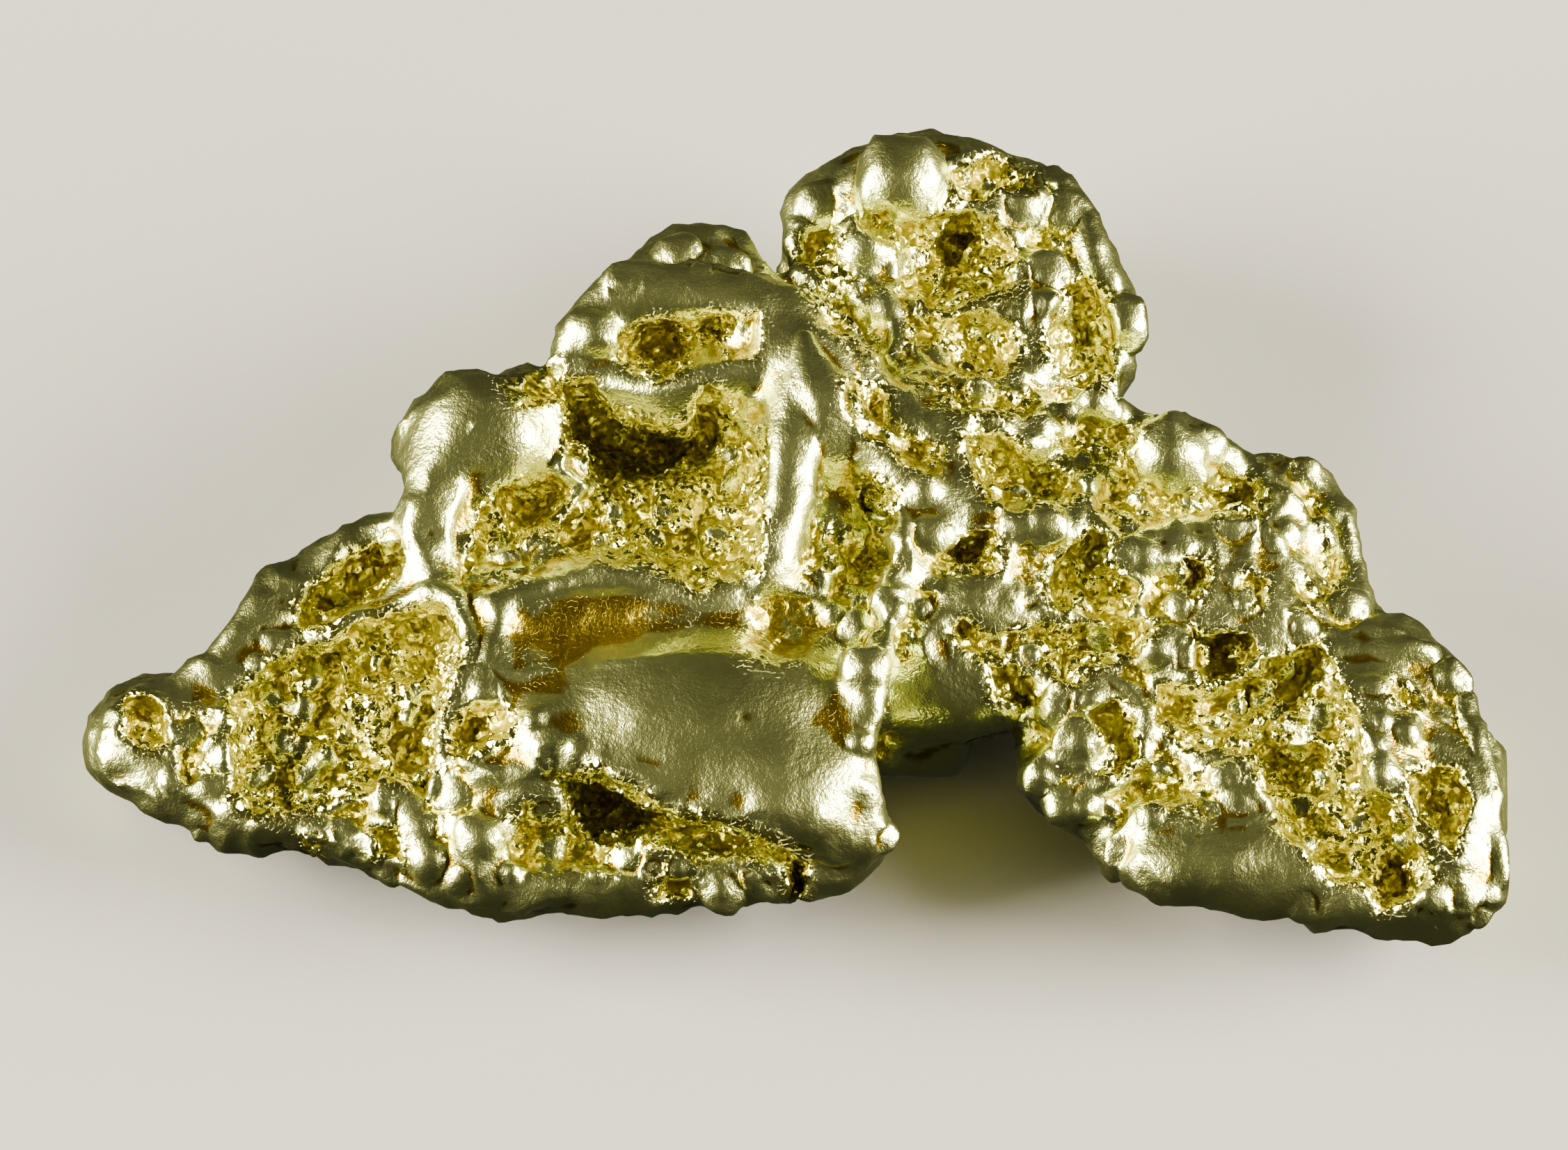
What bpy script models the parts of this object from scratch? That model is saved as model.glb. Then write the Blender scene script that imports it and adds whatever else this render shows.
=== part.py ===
"""A natural gold nugget: one solid lump of worn metal, lying on a table.

Frame: +Z up, the table is z = 0, and the nugget's box is centred over the origin. +X is its length.
The nugget has a showing side, which is looked down on from -Y at SHOWING_ANGLE. Its features are
placed as they are seen there: across, up the view, and height above the table, all in millimetres.
"""

import random
from math import cos, radians, sin, sqrt

import bmesh
import bpy
import numpy as np
from mathutils import Matrix, Vector, noise
from mathutils.bvhtree import BVHTree

MM = 0.001
SHOWING_ANGLE = radians(55.0)  # from the table up to the line of sight
SIGHT = Vector((0, -cos(SHOWING_ANGLE), sin(SHOWING_ANGLE)))  # from the nugget towards the eye
FUSE_VOXEL = 0.085  # mm, the grid on which lumps fuse into one skin
WEAR_PASSES = 4  # rounds of smoothing on the fused lumps
SOLID_FACES = 9200  # triangles left in the finished solid
CREASE = radians(50)  # an edge sharper than this stays sharp in the shading
FOOT_DEPTH = 0.12  # mm worn off the lowest knobs, which leaves the flats that it stands on
PIT_WALL = 0.11  # mm, how wide the wall of a pit is as seen
KEEP_UNDER_PIT = 0.45  # share of the metal's depth that a pit may not eat into
KNOBBLE_SIZE = 0.42  # mm between the knobbles on a pit's floor
KNOBBLE_FALL = 0.9  # how fast a knobble's finer parts fade
RAY_START = 0.02  # mm off the skin, so that a ray doesn't meet the face that it starts on
LEAST_DEPTH = 0.4  # of its half rise, how deep an ellipsoid is at least from front to back

# The thick of the metal. Columns: across, up, height, half width, half rise as seen, half thickness, and
# turn in degrees.
MASSES = {
    "arm_end": (-6.85, -1.80, 1.05, 0.62, 0.60, 0.60, 0),
    "arm_outer": (-6.05, -1.95, 1.00, 0.95, 0.80, 0.65, -10),
    "arm_middle": (-5.05, -1.70, 1.05, 1.15, 1.20, 0.70, 0),
    "arm_inner": (-4.15, -1.35, 1.15, 1.05, 1.65, 0.85, 0),
    "core_left": (-2.90, -0.95, 1.30, 1.30, 2.15, 1.05, 0),
    "core_middle": (-1.40, -0.55, 1.40, 1.60, 2.55, 1.10, 0),
    "core_right": (-0.20, -0.75, 1.40, 1.10, 2.35, 1.10, 0),
    "core_top": (-0.95, 1.80, 1.75, 1.64, 1.28, 1.15, 15),
    "core_back": (-1.10, 2.70, 1.85, 1.05, 0.76, 0.80, 0),
    "crater_body": (-1.30, 2.38, 2.30, 1.08, 0.62, 0.66, 0),
    "knob_body": (-2.60, 1.30, 1.75, 1.00, 0.85, 0.75, 0),
    "slab": (-0.95, -1.55, 2.00, 1.75, 0.95, 0.72, 0),
    "slab_front": (-0.30, -2.10, 2.00, 1.10, 0.72, 0.55, -8),
    "neck": (1.55, -0.75, 1.65, 1.35, 1.02, 0.75, 0),
    "neck_top": (1.50, 0.95, 1.70, 1.50, 1.20, 1.05, 0),
    "head_foot": (1.95, 2.25, 1.45, 1.50, 1.15, 1.00, 0),
    "head": (1.46, 3.58, 1.45, 1.50, 1.04, 0.98, 0),
    "head_heel": (0.55, 2.95, 1.75, 0.72, 0.52, 0.70, 0),
    "wing_root": (3.20, -0.25, 1.50, 1.35, 1.75, 1.05, 0),
    "wing_middle": (4.55, -0.75, 1.45, 1.35, 1.90, 1.00, 0),
    "wing_outer": (5.85, -1.95, 1.35, 1.10, 1.50, 0.95, 0),
    "wing_end": (6.58, -2.60, 1.20, 0.92, 1.20, 0.88, 0),
    "wing_foot": (4.75, -2.60, 1.15, 1.40, 0.90, 0.82, -8),
    "wing_edge": (3.35, -1.90, 1.20, 1.00, 0.86, 0.75, -35),
    "notch_wall": (1.12, -1.80, 0.85, 0.36, 0.36, 0.45, 0),
}

# Knobs that stand out of it, with the same columns.
KNOBS = {
    "left_knob": (-3.33, 1.40, 2.20, 0.88, 0.72, 0.72, 0),
    "left_knob_crown": (-3.45, 1.60, 2.45, 0.52, 0.42, 0.50, 0),
    "back_knob": (-1.02, 3.28, 2.00, 0.60, 0.42, 0.50, 0),
    "head_ball": (1.10, 4.12, 2.22, 0.52, 0.42, 0.52, 0),
    "head_hump": (0.72, 3.30, 2.10, 0.38, 0.30, 0.36, 0),
    "head_side_knob": (3.45, 2.62, 1.60, 0.28, 0.30, 0.34, 0),
    "shoulder": (4.00, 1.12, 2.25, 0.50, 0.52, 0.52, 0),
    "wing_ball": (2.52, 0.45, 2.45, 0.36, 0.30, 0.36, 0),
    "wing_pearl": (5.08, 0.55, 2.15, 0.30, 0.28, 0.32, 0),
    "crossing_ball": (3.15, 1.72, 2.20, 0.28, 0.26, 0.30, 0),
    "ring_ball": (2.98, -1.78, 1.85, 0.24, 0.24, 0.26, 0),
    "rim_boss": (-3.30, -2.85, 1.25, 0.46, 0.50, 0.46, 0),
    "rim_bead_left": (-4.30, -2.88, 1.05, 0.34, 0.30, 0.34, 0),
    "end_ball": (6.92, -3.35, 1.25, 0.28, 0.28, 0.32, 0),
    "notch_bead_high": (2.56, -2.14, 1.55, 0.30, 0.28, 0.32, 0),
    "notch_bead_middle": (3.03, -2.54, 1.40, 0.30, 0.30, 0.32, 0),
    "notch_bead_low": (3.48, -2.88, 1.25, 0.32, 0.25, 0.30, 0),
    "wing_lump": (3.80, -0.85, 2.15, 0.28, 0.26, 0.30, 0),
    "basin_lump_low": (5.35, -1.55, 1.95, 0.34, 0.24, 0.28, 0),
    "pit_bridge": (6.15, -2.05, 2.00, 0.18, 0.34, 0.24, 0),
}

# Worn ridges. Each point: across, up, height, half thickness.
RIDGES = {
    "tip_hook": [(-6.62, -1.28, 1.40, 0.16), (-7.02, -1.32, 1.36, 0.19), (-7.27, -1.62, 1.22, 0.20),
                 (-7.12, -2.02, 1.08, 0.22), (-6.62, -2.32, 1.00, 0.28)],
    "arm_rim": [(-6.72, -2.25, 1.00, 0.26), (-6.30, -2.48, 0.98, 0.34), (-5.70, -2.62, 0.98, 0.36),
                (-5.05, -2.62, 1.00, 0.34), (-4.45, -2.80, 1.00, 0.34), (-3.80, -3.00, 1.00, 0.42)],
    "front_rim": [(-3.70, -3.02, 1.02, 0.46), (-2.90, -3.16, 1.02, 0.48), (-2.10, -3.20, 1.02, 0.40),
                  (-1.30, -3.20, 1.02, 0.36), (-0.50, -3.18, 1.02, 0.34), (0.25, -3.10, 1.10, 0.34),
                  (0.68, -2.86, 1.15, 0.28)],
    "back_rim": [(-4.05, 0.42, 1.85, 0.30), (-4.60, 0.28, 1.72, 0.28), (-5.15, -0.02, 1.62, 0.28),
                 (-5.55, -0.36, 1.58, 0.26), (-5.86, -0.78, 1.50, 0.20), (-6.15, -1.05, 1.42, 0.17),
                 (-6.55, -1.32, 1.35, 0.15)],
    "knob_spur": [(-3.62, 1.30, 2.40, 0.40), (-3.85, 0.72, 2.20, 0.34), (-3.98, 0.30, 2.08, 0.28),
                  (-3.82, -0.10, 2.05, 0.22)],
    "basin_lip": [(-3.80, -0.15, 2.05, 0.20), (-4.25, -0.36, 1.90, 0.16), (-4.70, -0.52, 1.80, 0.15),
                  (-5.05, -0.74, 1.68, 0.12)],
    "slab_left_lip": [(-3.78, -0.18, 2.05, 0.20), (-3.42, -0.50, 2.12, 0.18), (-3.36, -0.90, 2.10, 0.20),
                      (-3.60, -1.28, 1.98, 0.20), (-3.76, -1.70, 1.78, 0.16), (-3.72, -2.10, 1.60, 0.15)],
    "slab_spine": [(-3.10, -0.35, 2.15, 0.30), (-2.30, -0.25, 2.25, 0.34), (-1.50, -0.22, 2.28, 0.34),
                   (-0.80, -0.30, 2.30, 0.28)],
    "dimple_lip": [(-2.65, -1.50, 2.28, 0.22), (-2.95, -1.75, 2.10, 0.20), (-3.40, -1.98, 1.85, 0.16),
                   (-3.75, -2.15, 1.60, 0.14)],
    "slab_brow": [(-2.60, -1.86, 2.12, 0.20), (-2.05, -1.90, 2.18, 0.22), (-1.60, -2.12, 2.16, 0.22),
                  (-1.15, -2.32, 2.12, 0.22), (-0.70, -2.36, 2.08, 0.22), (-0.25, -2.48, 2.00, 0.22),
                  (0.15, -2.74, 1.82, 0.22), (0.62, -2.74, 1.60, 0.26)],
    "slab_right_lip": [(0.90, -0.62, 2.55, 0.20), (0.84, -0.95, 2.52, 0.22), (0.72, -1.35, 2.42, 0.20),
                       (0.62, -1.85, 2.20, 0.20), (0.72, -2.40, 1.85, 0.20), (0.74, -2.78, 1.50, 0.22)],
    "crater_ring": [(-2.32, 2.16, 2.72, 0.30), (-2.20, 2.56, 2.85, 0.34), (-1.76, 2.88, 2.95, 0.38),
                    (-1.10, 2.94, 3.02, 0.36), (-0.50, 2.82, 3.02, 0.34), (-0.26, 2.48, 3.02, 0.28),
                    (-0.50, 2.18, 2.98, 0.26), (-1.00, 1.98, 2.90, 0.24), (-1.60, 1.90, 2.80, 0.26),
                    (-2.10, 2.05, 2.66, 0.24)],
    "crater_apron": [(-1.95, 1.92, 2.55, 0.20), (-1.55, 1.72, 2.55, 0.20), (-1.15, 1.68, 2.55, 0.18),
                     (-0.55, 1.95, 2.80, 0.26)],
    "long_ridge": [(-0.35, 2.82, 2.85, 0.34), (0.12, 2.60, 2.85, 0.38), (0.55, 2.18, 2.78, 0.32),
                   (1.00, 1.72, 2.68, 0.22), (1.42, 1.38, 2.58, 0.20), (1.75, 0.98, 2.55, 0.20),
                   (2.05, 0.66, 2.50, 0.18)],
    "inner_ridge": [(0.05, 2.20, 2.90, 0.40), (0.30, 1.72, 2.92, 0.38), (0.70, 1.30, 2.82, 0.30),
                    (1.15, 0.95, 2.68, 0.24), (1.60, 0.68, 2.60, 0.22)],
    "upright_ridge": [(0.05, 1.85, 2.92, 0.36), (-0.02, 1.35, 2.88, 0.30), (-0.08, 0.80, 2.75, 0.26),
                      (-0.14, 0.35, 2.62, 0.24), (-0.32, -0.02, 2.45, 0.22)],
    "pit_fence": [(1.18, 0.72, 2.62, 0.16), (1.20, 0.40, 2.58, 0.17), (1.12, 0.05, 2.52, 0.16),
                  (0.95, -0.35, 2.52, 0.18)],
    "dish_ring": [(1.45, 0.38, 2.50, 0.18), (1.85, 0.56, 2.50, 0.18), (2.18, 0.30, 2.48, 0.18),
                  (2.15, -0.08, 2.42, 0.18), (1.75, -0.20, 2.40, 0.20), (1.40, 0.00, 2.45, 0.18)],
    "head_rim": [(0.10, 3.30, 1.85, 0.22), (0.10, 3.72, 1.80, 0.24), (0.35, 4.12, 1.75, 0.26),
                 (0.90, 4.30, 1.72, 0.30), (1.60, 4.38, 1.70, 0.30), (2.25, 4.22, 1.70, 0.34),
                 (2.68, 3.90, 1.68, 0.38), (2.90, 3.44, 1.68, 0.36), (3.18, 3.04, 1.62, 0.30),
                 (3.46, 2.70, 1.58, 0.26), (3.32, 2.25, 1.50, 0.20), (3.30, 1.90, 1.60, 0.18)],
    "head_fold": [(2.62, 3.22, 1.98, 0.20), (2.66, 2.90, 2.02, 0.18), (2.58, 2.60, 1.98, 0.15)],
    "head_seam": [(0.62, 2.92, 2.15, 0.15), (1.02, 2.72, 2.18, 0.15), (1.18, 2.30, 2.15, 0.14),
                  (1.30, 1.90, 2.20, 0.14), (1.60, 1.60, 2.25, 0.15), (2.10, 1.55, 2.22, 0.15),
                  (2.65, 1.48, 2.18, 0.16), (3.10, 1.68, 2.15, 0.18)],
    "head_shelf": [(1.38, 2.08, 2.00, 0.15), (1.75, 2.12, 1.98, 0.14), (2.15, 1.98, 1.98, 0.14),
                   (2.50, 1.92, 1.98, 0.14)],
    "shoulder_ridge": [(3.45, 1.62, 2.00, 0.18), (3.90, 1.48, 2.12, 0.24), (4.35, 1.18, 2.12, 0.26),
                       (4.80, 0.95, 2.02, 0.22), (5.15, 0.72, 1.98, 0.20), (5.38, 0.30, 1.90, 0.18),
                       (5.42, -0.15, 1.85, 0.17)],
    "shoulder_frill": [(4.98, 1.08, 1.70, 0.18), (5.36, 1.08, 1.68, 0.22), (5.66, 0.72, 1.64, 0.24),
                       (5.76, 0.22, 1.60, 0.24), (5.74, -0.25, 1.58, 0.24), (5.95, -0.68, 1.62, 0.24)],
    "crossbar": [(3.42, 0.12, 2.40, 0.22), (3.95, 0.15, 2.38, 0.22)],
    "crossbar_back": [(3.95, 0.32, 2.35, 0.22), (4.45, 0.32, 2.30, 0.24), (4.95, 0.30, 2.20, 0.22)],
    "crossbar_leg": [(4.78, 0.20, 2.20, 0.20), (4.88, -0.25, 2.12, 0.18), (4.95, -0.62, 2.05, 0.16)],
    "neck_ridge": [(1.75, -0.30, 2.35, 0.22), (2.20, -0.38, 2.30, 0.20), (2.55, -0.20, 2.25, 0.18)],
    "wing_ring": [(2.78, -1.45, 1.90, 0.16), (3.10, -1.28, 1.95, 0.15), (3.48, -1.38, 1.95, 0.16),
                  (3.66, -1.72, 1.88, 0.16), (3.50, -2.08, 1.78, 0.15), (3.10, -2.15, 1.72, 0.14),
                  (2.80, -1.92, 1.78, 0.15)],
    "end_ridge": [(5.55, -0.95, 1.95, 0.24), (6.05, -0.84, 1.95, 0.30), (6.54, -0.86, 1.82, 0.32),
                  (6.80, -1.32, 1.68, 0.28), (6.92, -1.80, 1.60, 0.26), (7.10, -2.32, 1.45, 0.25),
                  (7.24, -2.85, 1.30, 0.25), (7.20, -3.35, 1.15, 0.28)],
    "end_inner_ridge": [(6.08, -1.38, 1.98, 0.18), (6.22, -1.80, 2.00, 0.17), (6.20, -2.30, 1.90, 0.15)],
    "foot_ridge": [(3.65, -2.52, 1.75, 0.15), (4.10, -2.56, 1.78, 0.15), (4.45, -2.30, 1.85, 0.17),
                   (4.80, -2.18, 1.85, 0.16)],
    "foot_plate": [(3.86, -3.04, 1.50, 0.38), (4.60, -3.12, 1.46, 0.44), (5.35, -3.26, 1.30, 0.40),
                   (6.05, -3.42, 1.12, 0.40), (6.74, -3.50, 1.02, 0.42)],
}

# Pits where the metal was never worn, as seen: depth, roughness of the floor, then the outline's points.
PITS = {
    "tip_pit": (0.30, 0.05, [(-7.12, -1.42), (-6.95, -1.33), (-6.68, -1.40), (-6.55, -1.60), (-6.62, -1.85),
                             (-6.88, -1.95), (-7.08, -1.75)]),
    "arm_basin": (0.50, 0.12, [(-6.05, -1.32), (-5.75, -1.15), (-5.55, -0.95), (-5.25, -0.75), (-4.95, -0.80),
                               (-4.75, -0.62), (-4.35, -0.45), (-3.95, -0.38), (-3.68, -0.42), (-3.50, -0.65),
                               (-3.42, -0.95), (-3.65, -1.25), (-3.76, -1.60), (-3.78, -1.95), (-3.90, -2.45),
                               (-4.10, -2.30), (-4.35, -2.15), (-4.60, -2.35), (-4.95, -2.45), (-5.35, -2.60),
                               (-5.75, -2.58), (-6.00, -2.35), (-6.02, -1.95), (-5.95, -1.60)]),
    "arm_tip_gravel": (0.22, 0.08, [(-6.58, -1.48), (-6.20, -1.38), (-6.05, -1.60), (-6.10, -2.15),
                                    (-6.42, -2.25), (-6.50, -1.85)]),
    "arm_chute": (0.42, 0.04, [(-4.38, -1.80), (-4.10, -1.62), (-3.95, -1.28), (-3.76, -1.28), (-3.80, -1.95),
                               (-3.90, -2.46), (-4.10, -2.22), (-4.30, -2.00)]),
    "back_pocket": (0.30, 0.05, [(-5.30, -0.35), (-5.12, -0.08), (-4.85, 0.05), (-4.60, 0.30), (-4.20, 0.35),
                                 (-4.12, 0.15), (-4.38, -0.22), (-4.70, -0.35), (-4.95, -0.55),
                                 (-5.20, -0.55)]),
    "rim_hole": (0.45, 0.0, [(-4.47, -2.76), (-4.14, -2.62), (-4.16, -2.99), (-4.45, -3.00)]),
    "rim_nick": (0.35, 0.0, [(-5.24, -2.78), (-5.00, -2.80), (-5.06, -3.02), (-5.20, -3.00)]),
    "knob_hollow": (0.34, 0.04, [(-3.50, 0.25), (-3.30, 0.62), (-3.10, 0.88), (-2.70, 0.98), (-2.35, 0.88),
                                 (-2.45, 0.62), (-2.75, 0.40), (-3.05, 0.22), (-3.35, 0.12)]),
    "knob_gravel": (0.12, 0.05, [(-3.68, 0.02), (-3.50, 0.20), (-3.00, 0.25), (-2.60, 0.40), (-2.75, 0.02),
                                 (-3.20, -0.15), (-3.55, -0.20)]),
    "knob_bridge": (0.18, 0.05, [(-3.15, 2.02), (-2.80, 2.05), (-2.50, 2.18), (-2.48, 1.85), (-2.90, 1.80)]),
    "crater": (0.38, 0.07, [(-1.92, 2.48), (-1.62, 2.60), (-1.10, 2.64), (-0.85, 2.76), (-0.45, 2.72),
                            (-0.36, 2.50), (-0.45, 2.30), (-0.72, 2.26), (-1.00, 2.44), (-1.12, 2.18),
                            (-1.25, 2.04), (-1.55, 2.05), (-1.82, 2.15)]),
    "great_pit": (0.42, 0.12, [(-2.46, 2.00), (-2.22, 2.02), (-2.08, 1.84), (-1.60, 1.60), (-1.22, 1.50),
                               (-1.12, 1.62), (-0.90, 2.00), (-0.72, 1.82), (-0.35, 1.40), (-0.32, 0.90),
                               (-0.34, 0.02), (-0.75, -0.02), (-1.10, -0.22), (-1.40, 0.02), (-1.65, 0.14),
                               (-2.20, 0.12), (-2.60, 0.30), (-2.45, 0.65), (-2.22, 0.90), (-2.46, 1.15)]),
    "great_pit_deep": (0.65, 0.10, [(-2.42, 1.85), (-2.20, 1.96), (-2.05, 1.80), (-1.60, 1.57), (-1.20, 1.48),
                                    (-0.95, 1.85), (-0.62, 1.58), (-0.98, 1.22), (-1.38, 1.00), (-1.70, 0.88),
                                    (-2.00, 1.02), (-2.40, 1.28)]),
    "great_pit_hole": (0.32, 0.0, [(-1.40, 0.44), (-1.02, 0.42), (-1.10, 0.06), (-1.30, 0.06)]),
    "ridge_slot": (0.17, 0.04, [(0.48, 2.06), (0.92, 1.98), (1.02, 1.65), (1.30, 1.38), (1.54, 1.26),
                                (1.42, 1.06), (1.18, 1.13), (0.88, 1.40), (0.52, 1.72)]),
    "ridge_hollow": (0.16, 0.0, [(0.16, 1.45), (0.48, 1.66), (0.85, 1.32), (1.12, 1.00), (0.55, 0.88),
                                 (0.20, 0.90)]),
    "fence_pit": (0.38, 0.03, [(0.55, 0.84), (0.80, 1.00), (1.06, 0.86), (1.08, 0.62), (0.74, 0.66)]),
    "fence_gravel": (0.16, 0.06, [(0.12, 0.05), (0.32, 0.50), (0.72, 0.46), (0.98, 0.25), (1.02, 0.02),
                                  (0.50, -0.04)]),
    "head_pit": (0.30, 0.10, [(1.40, 3.74), (1.62, 3.84), (2.05, 3.72), (2.30, 3.40), (2.40, 2.95),
                              (1.90, 2.82),
                              (1.55, 2.78), (1.16, 2.98), (1.08, 3.30), (1.22, 3.60)]),
    "head_pit_deep": (0.40, 0.04, [(1.48, 3.72), (2.08, 3.68), (1.82, 3.40), (1.78, 2.92), (1.52, 2.90)]),
    "head_gravel_left": (0.24, 0.08, [(0.00, 3.32), (0.10, 3.62), (0.42, 3.82), (0.60, 3.62), (0.42, 3.36),
                                      (0.58, 3.16), (1.00, 3.04), (0.76, 2.94), (0.30, 3.04)]),
    "head_ball_foot": (0.30, 0.05, [(0.66, 3.70), (0.84, 3.86), (1.02, 3.94), (1.25, 3.83), (1.52, 3.82),
                                    (1.34, 3.56), (0.92, 3.56)]),
    "head_gravel_low": (0.30, 0.10, [(1.16, 2.78), (1.60, 2.72), (2.18, 2.80), (2.44, 2.60), (2.50, 2.28),
                                     (2.10, 2.04), (1.62, 2.12), (1.32, 2.36), (1.18, 2.24)]),
    "head_top_pit": (0.24, 0.06, [(1.68, 4.30), (2.20, 4.40), (2.56, 4.26), (2.52, 4.08), (2.12, 4.04),
                                  (1.98, 3.86), (1.74, 3.92)]),
    "head_side_pit": (0.34, 0.09, [(2.82, 3.00), (3.04, 3.16), (3.30, 2.96), (3.38, 2.62), (3.34, 2.00),
                                   (3.04, 2.02), (2.66, 2.20), (2.62, 2.46)]),
    "head_side_deep": (0.34, 0.03, [(2.92, 2.90), (3.12, 2.88), (3.22, 2.12), (2.88, 2.12)]),
    "seam_gravel": (0.18, 0.05, [(0.08, 3.04), (0.36, 3.04), (0.70, 2.70), (0.98, 2.36), (0.86, 2.14),
                                 (0.52, 2.42), (0.22, 2.62)]),
    "shelf_gravel": (0.22, 0.06, [(1.22, 2.12), (1.45, 1.78), (1.78, 1.64), (2.42, 1.60), (2.64, 1.72),
                                  (2.54, 1.92), (2.00, 1.99), (1.58, 2.06)]),
    "amber_pit": (0.42, 0.08, [(1.70, 1.36), (1.88, 1.47), (2.34, 1.40), (2.55, 1.12), (2.98, 1.06),
                               (3.00, 0.78),
                               (2.82, 0.62), (2.36, 0.70), (2.05, 0.72), (1.94, 0.92)]),
    "wing_gravel": (0.20, 0.08, [(2.62, 1.38), (3.10, 1.42), (3.45, 1.62), (3.70, 1.54), (3.58, 1.15),
                                 (3.64, 0.85), (3.86, 0.60), (3.40, 0.42), (3.14, 0.62), (3.04, 1.04)]),
    "shoulder_pit": (0.32, 0.05, [(4.18, 0.88), (4.50, 0.93), (4.92, 0.96), (5.00, 0.66), (4.74, 0.52),
                                  (4.38, 0.58)]),
    "edge_gravel": (0.16, 0.06, [(5.00, 1.18), (5.28, 1.24), (5.52, 0.95), (5.74, 0.55), (5.80, 0.00),
                                 (5.78, -0.35), (5.45, -0.48), (5.18, -0.20), (5.36, 0.10), (5.42, 0.50),
                                 (5.30, 0.84)]),
    "wing_pit": (0.45, 0.10, [(2.68, 0.06), (2.94, 0.32), (3.12, 0.46), (3.30, 0.38), (3.34, 0.05),
                              (3.54, -0.14), (3.48, -0.46), (3.08, -0.50), (2.74, -0.44), (2.62, -0.20)]),
    "wing_hole": (0.55, 0.0, [(4.04, 0.16), (4.34, 0.10), (4.33, -0.26), (4.20, -0.34), (4.05, -0.20)]),
    "wing_low_gravel": (0.28, 0.10, [(2.50, -0.52), (3.10, -0.54), (3.88, -0.50), (3.64, -0.75),
                                     (3.48, -0.96),
                                     (2.90, -1.16), (2.60, -0.96), (2.36, -0.74)]),
    "wing_deep_pit": (0.62, 0.05, [(4.12, -0.55), (4.45, -0.60), (4.76, -0.62), (4.86, -0.80), (4.62, -1.10),
                                   (4.34, -1.24), (4.18, -0.95)]),
    "wing_cup": (0.18, 0.04, [(4.60, -0.10), (4.78, 0.03), (4.97, -0.10), (4.92, -0.42), (4.68, -0.38)]),
    "dish": (0.24, 0.03, [(1.58, 0.25), (1.80, 0.41), (2.12, 0.36), (2.18, 0.05), (1.85, 0.00),
                          (1.60, 0.08)]),
    "neck_pit": (0.22, 0.04, [(1.60, -0.60), (1.76, -0.45), (2.00, -0.68), (2.44, -0.62), (2.28, -0.86),
                              (2.00, -0.96), (1.74, -0.80)]),
    "neck_cup": (0.28, 0.0, [(2.08, -1.00), (2.32, -1.00), (2.50, -1.20), (2.60, -1.42), (2.35, -1.48),
                             (2.14, -1.32)]),
    "ring_cup": (0.32, 0.03, [(3.04, -1.40), (3.30, -1.37), (3.54, -1.52), (3.64, -1.84), (3.46, -2.14),
                              (3.14, -2.14), (3.32, -1.84), (3.16, -1.62)]),
    "right_basin": (0.42, 0.14, [(3.84, -1.15), (4.30, -1.25), (4.66, -1.12), (5.10, -0.85), (5.44, -0.76),
                                 (5.62, -1.00), (5.90, -1.45), (6.00, -1.75), (6.05, -2.30), (6.42, -2.40),
                                 (6.58, -2.78), (6.70, -3.20), (6.42, -3.48), (6.15, -3.58), (6.05, -3.30),
                                 (5.62, -3.22), (5.30, -2.92), (5.06, -2.58), (4.88, -2.24), (4.76, -1.95),
                                 (4.30, -1.86), (3.95, -1.80), (3.80, -1.50)]),
    "basin_deep_high": (0.28, 0.0, [(4.66, -1.34), (4.92, -1.18), (4.94, -1.50), (4.74, -1.62)]),
    "basin_deep_middle": (0.26, 0.05, [(5.04, -1.84), (5.60, -1.80), (5.76, -2.10), (5.62, -2.50),
                                       (5.28, -2.46), (5.08, -2.16)]),
    "basin_deep_low": (0.36, 0.0, [(6.08, -3.08), (6.36, -2.98), (6.46, -3.36), (6.20, -3.54)]),
    "end_dimple": (0.28, 0.02, [(6.16, -1.32), (6.34, -1.17), (6.58, -1.26), (6.52, -1.50), (6.34, -1.48)]),
    "end_pit": (0.55, 0.06, [(6.48, -2.14), (6.70, -1.98), (6.98, -2.05), (7.05, -2.35), (6.96, -2.76),
                             (6.80, -2.92), (6.58, -2.66)]),
    "foot_gravel": (0.16, 0.05, [(3.68, -2.15), (3.90, -2.00), (4.36, -2.04), (4.56, -2.44), (4.25, -2.60),
                                 (3.74, -2.54)]),
    "slab_gravel_left": (0.13, 0.05, [(-3.10, -0.66), (-2.90, -0.26), (-2.20, -0.20), (-1.50, -0.16),
                                      (-1.00, -0.35), (-1.35, -0.66), (-2.00, -0.82), (-2.80, -0.90)]),
    "slab_gravel_right": (0.20, 0.07, [(-0.60, -0.55), (-0.45, -0.25), (0.00, -0.15), (0.36, -0.34),
                                       (0.46, -0.60), (0.24, -0.85), (-0.20, -1.04), (-0.50, -0.95)]),
    "slab_dimple": (0.30, 0.02, [(-3.64, -1.62), (-3.40, -1.40), (-3.10, -1.34), (-2.94, -1.55),
                                 (-3.05, -1.80), (-3.40, -1.94), (-3.64, -1.94)]),
    "ledge": (0.72, 0.05, [(-2.58, -2.08), (-2.05, -2.12), (-1.70, -2.32), (-1.30, -2.52), (-0.80, -2.57),
                           (-0.45, -2.65), (-0.15, -2.80), (0.12, -3.02), (0.10, -3.46), (-0.10, -3.46),
                           (-0.12, -3.05), (-0.45, -2.88), (-1.05, -2.98), (-1.30, -2.86), (-2.00, -2.74),
                           (-2.34, -2.64), (-2.42, -2.34)]),
    "front_gravel": (0.18, 0.07, [(-3.15, -2.55), (-2.75, -2.40), (-2.35, -2.62), (-2.05, -2.76),
                                  (-1.60, -2.82), (-1.55, -3.06), (-2.00, -3.15), (-2.60, -3.15),
                                  (-3.00, -3.10)]),
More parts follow.
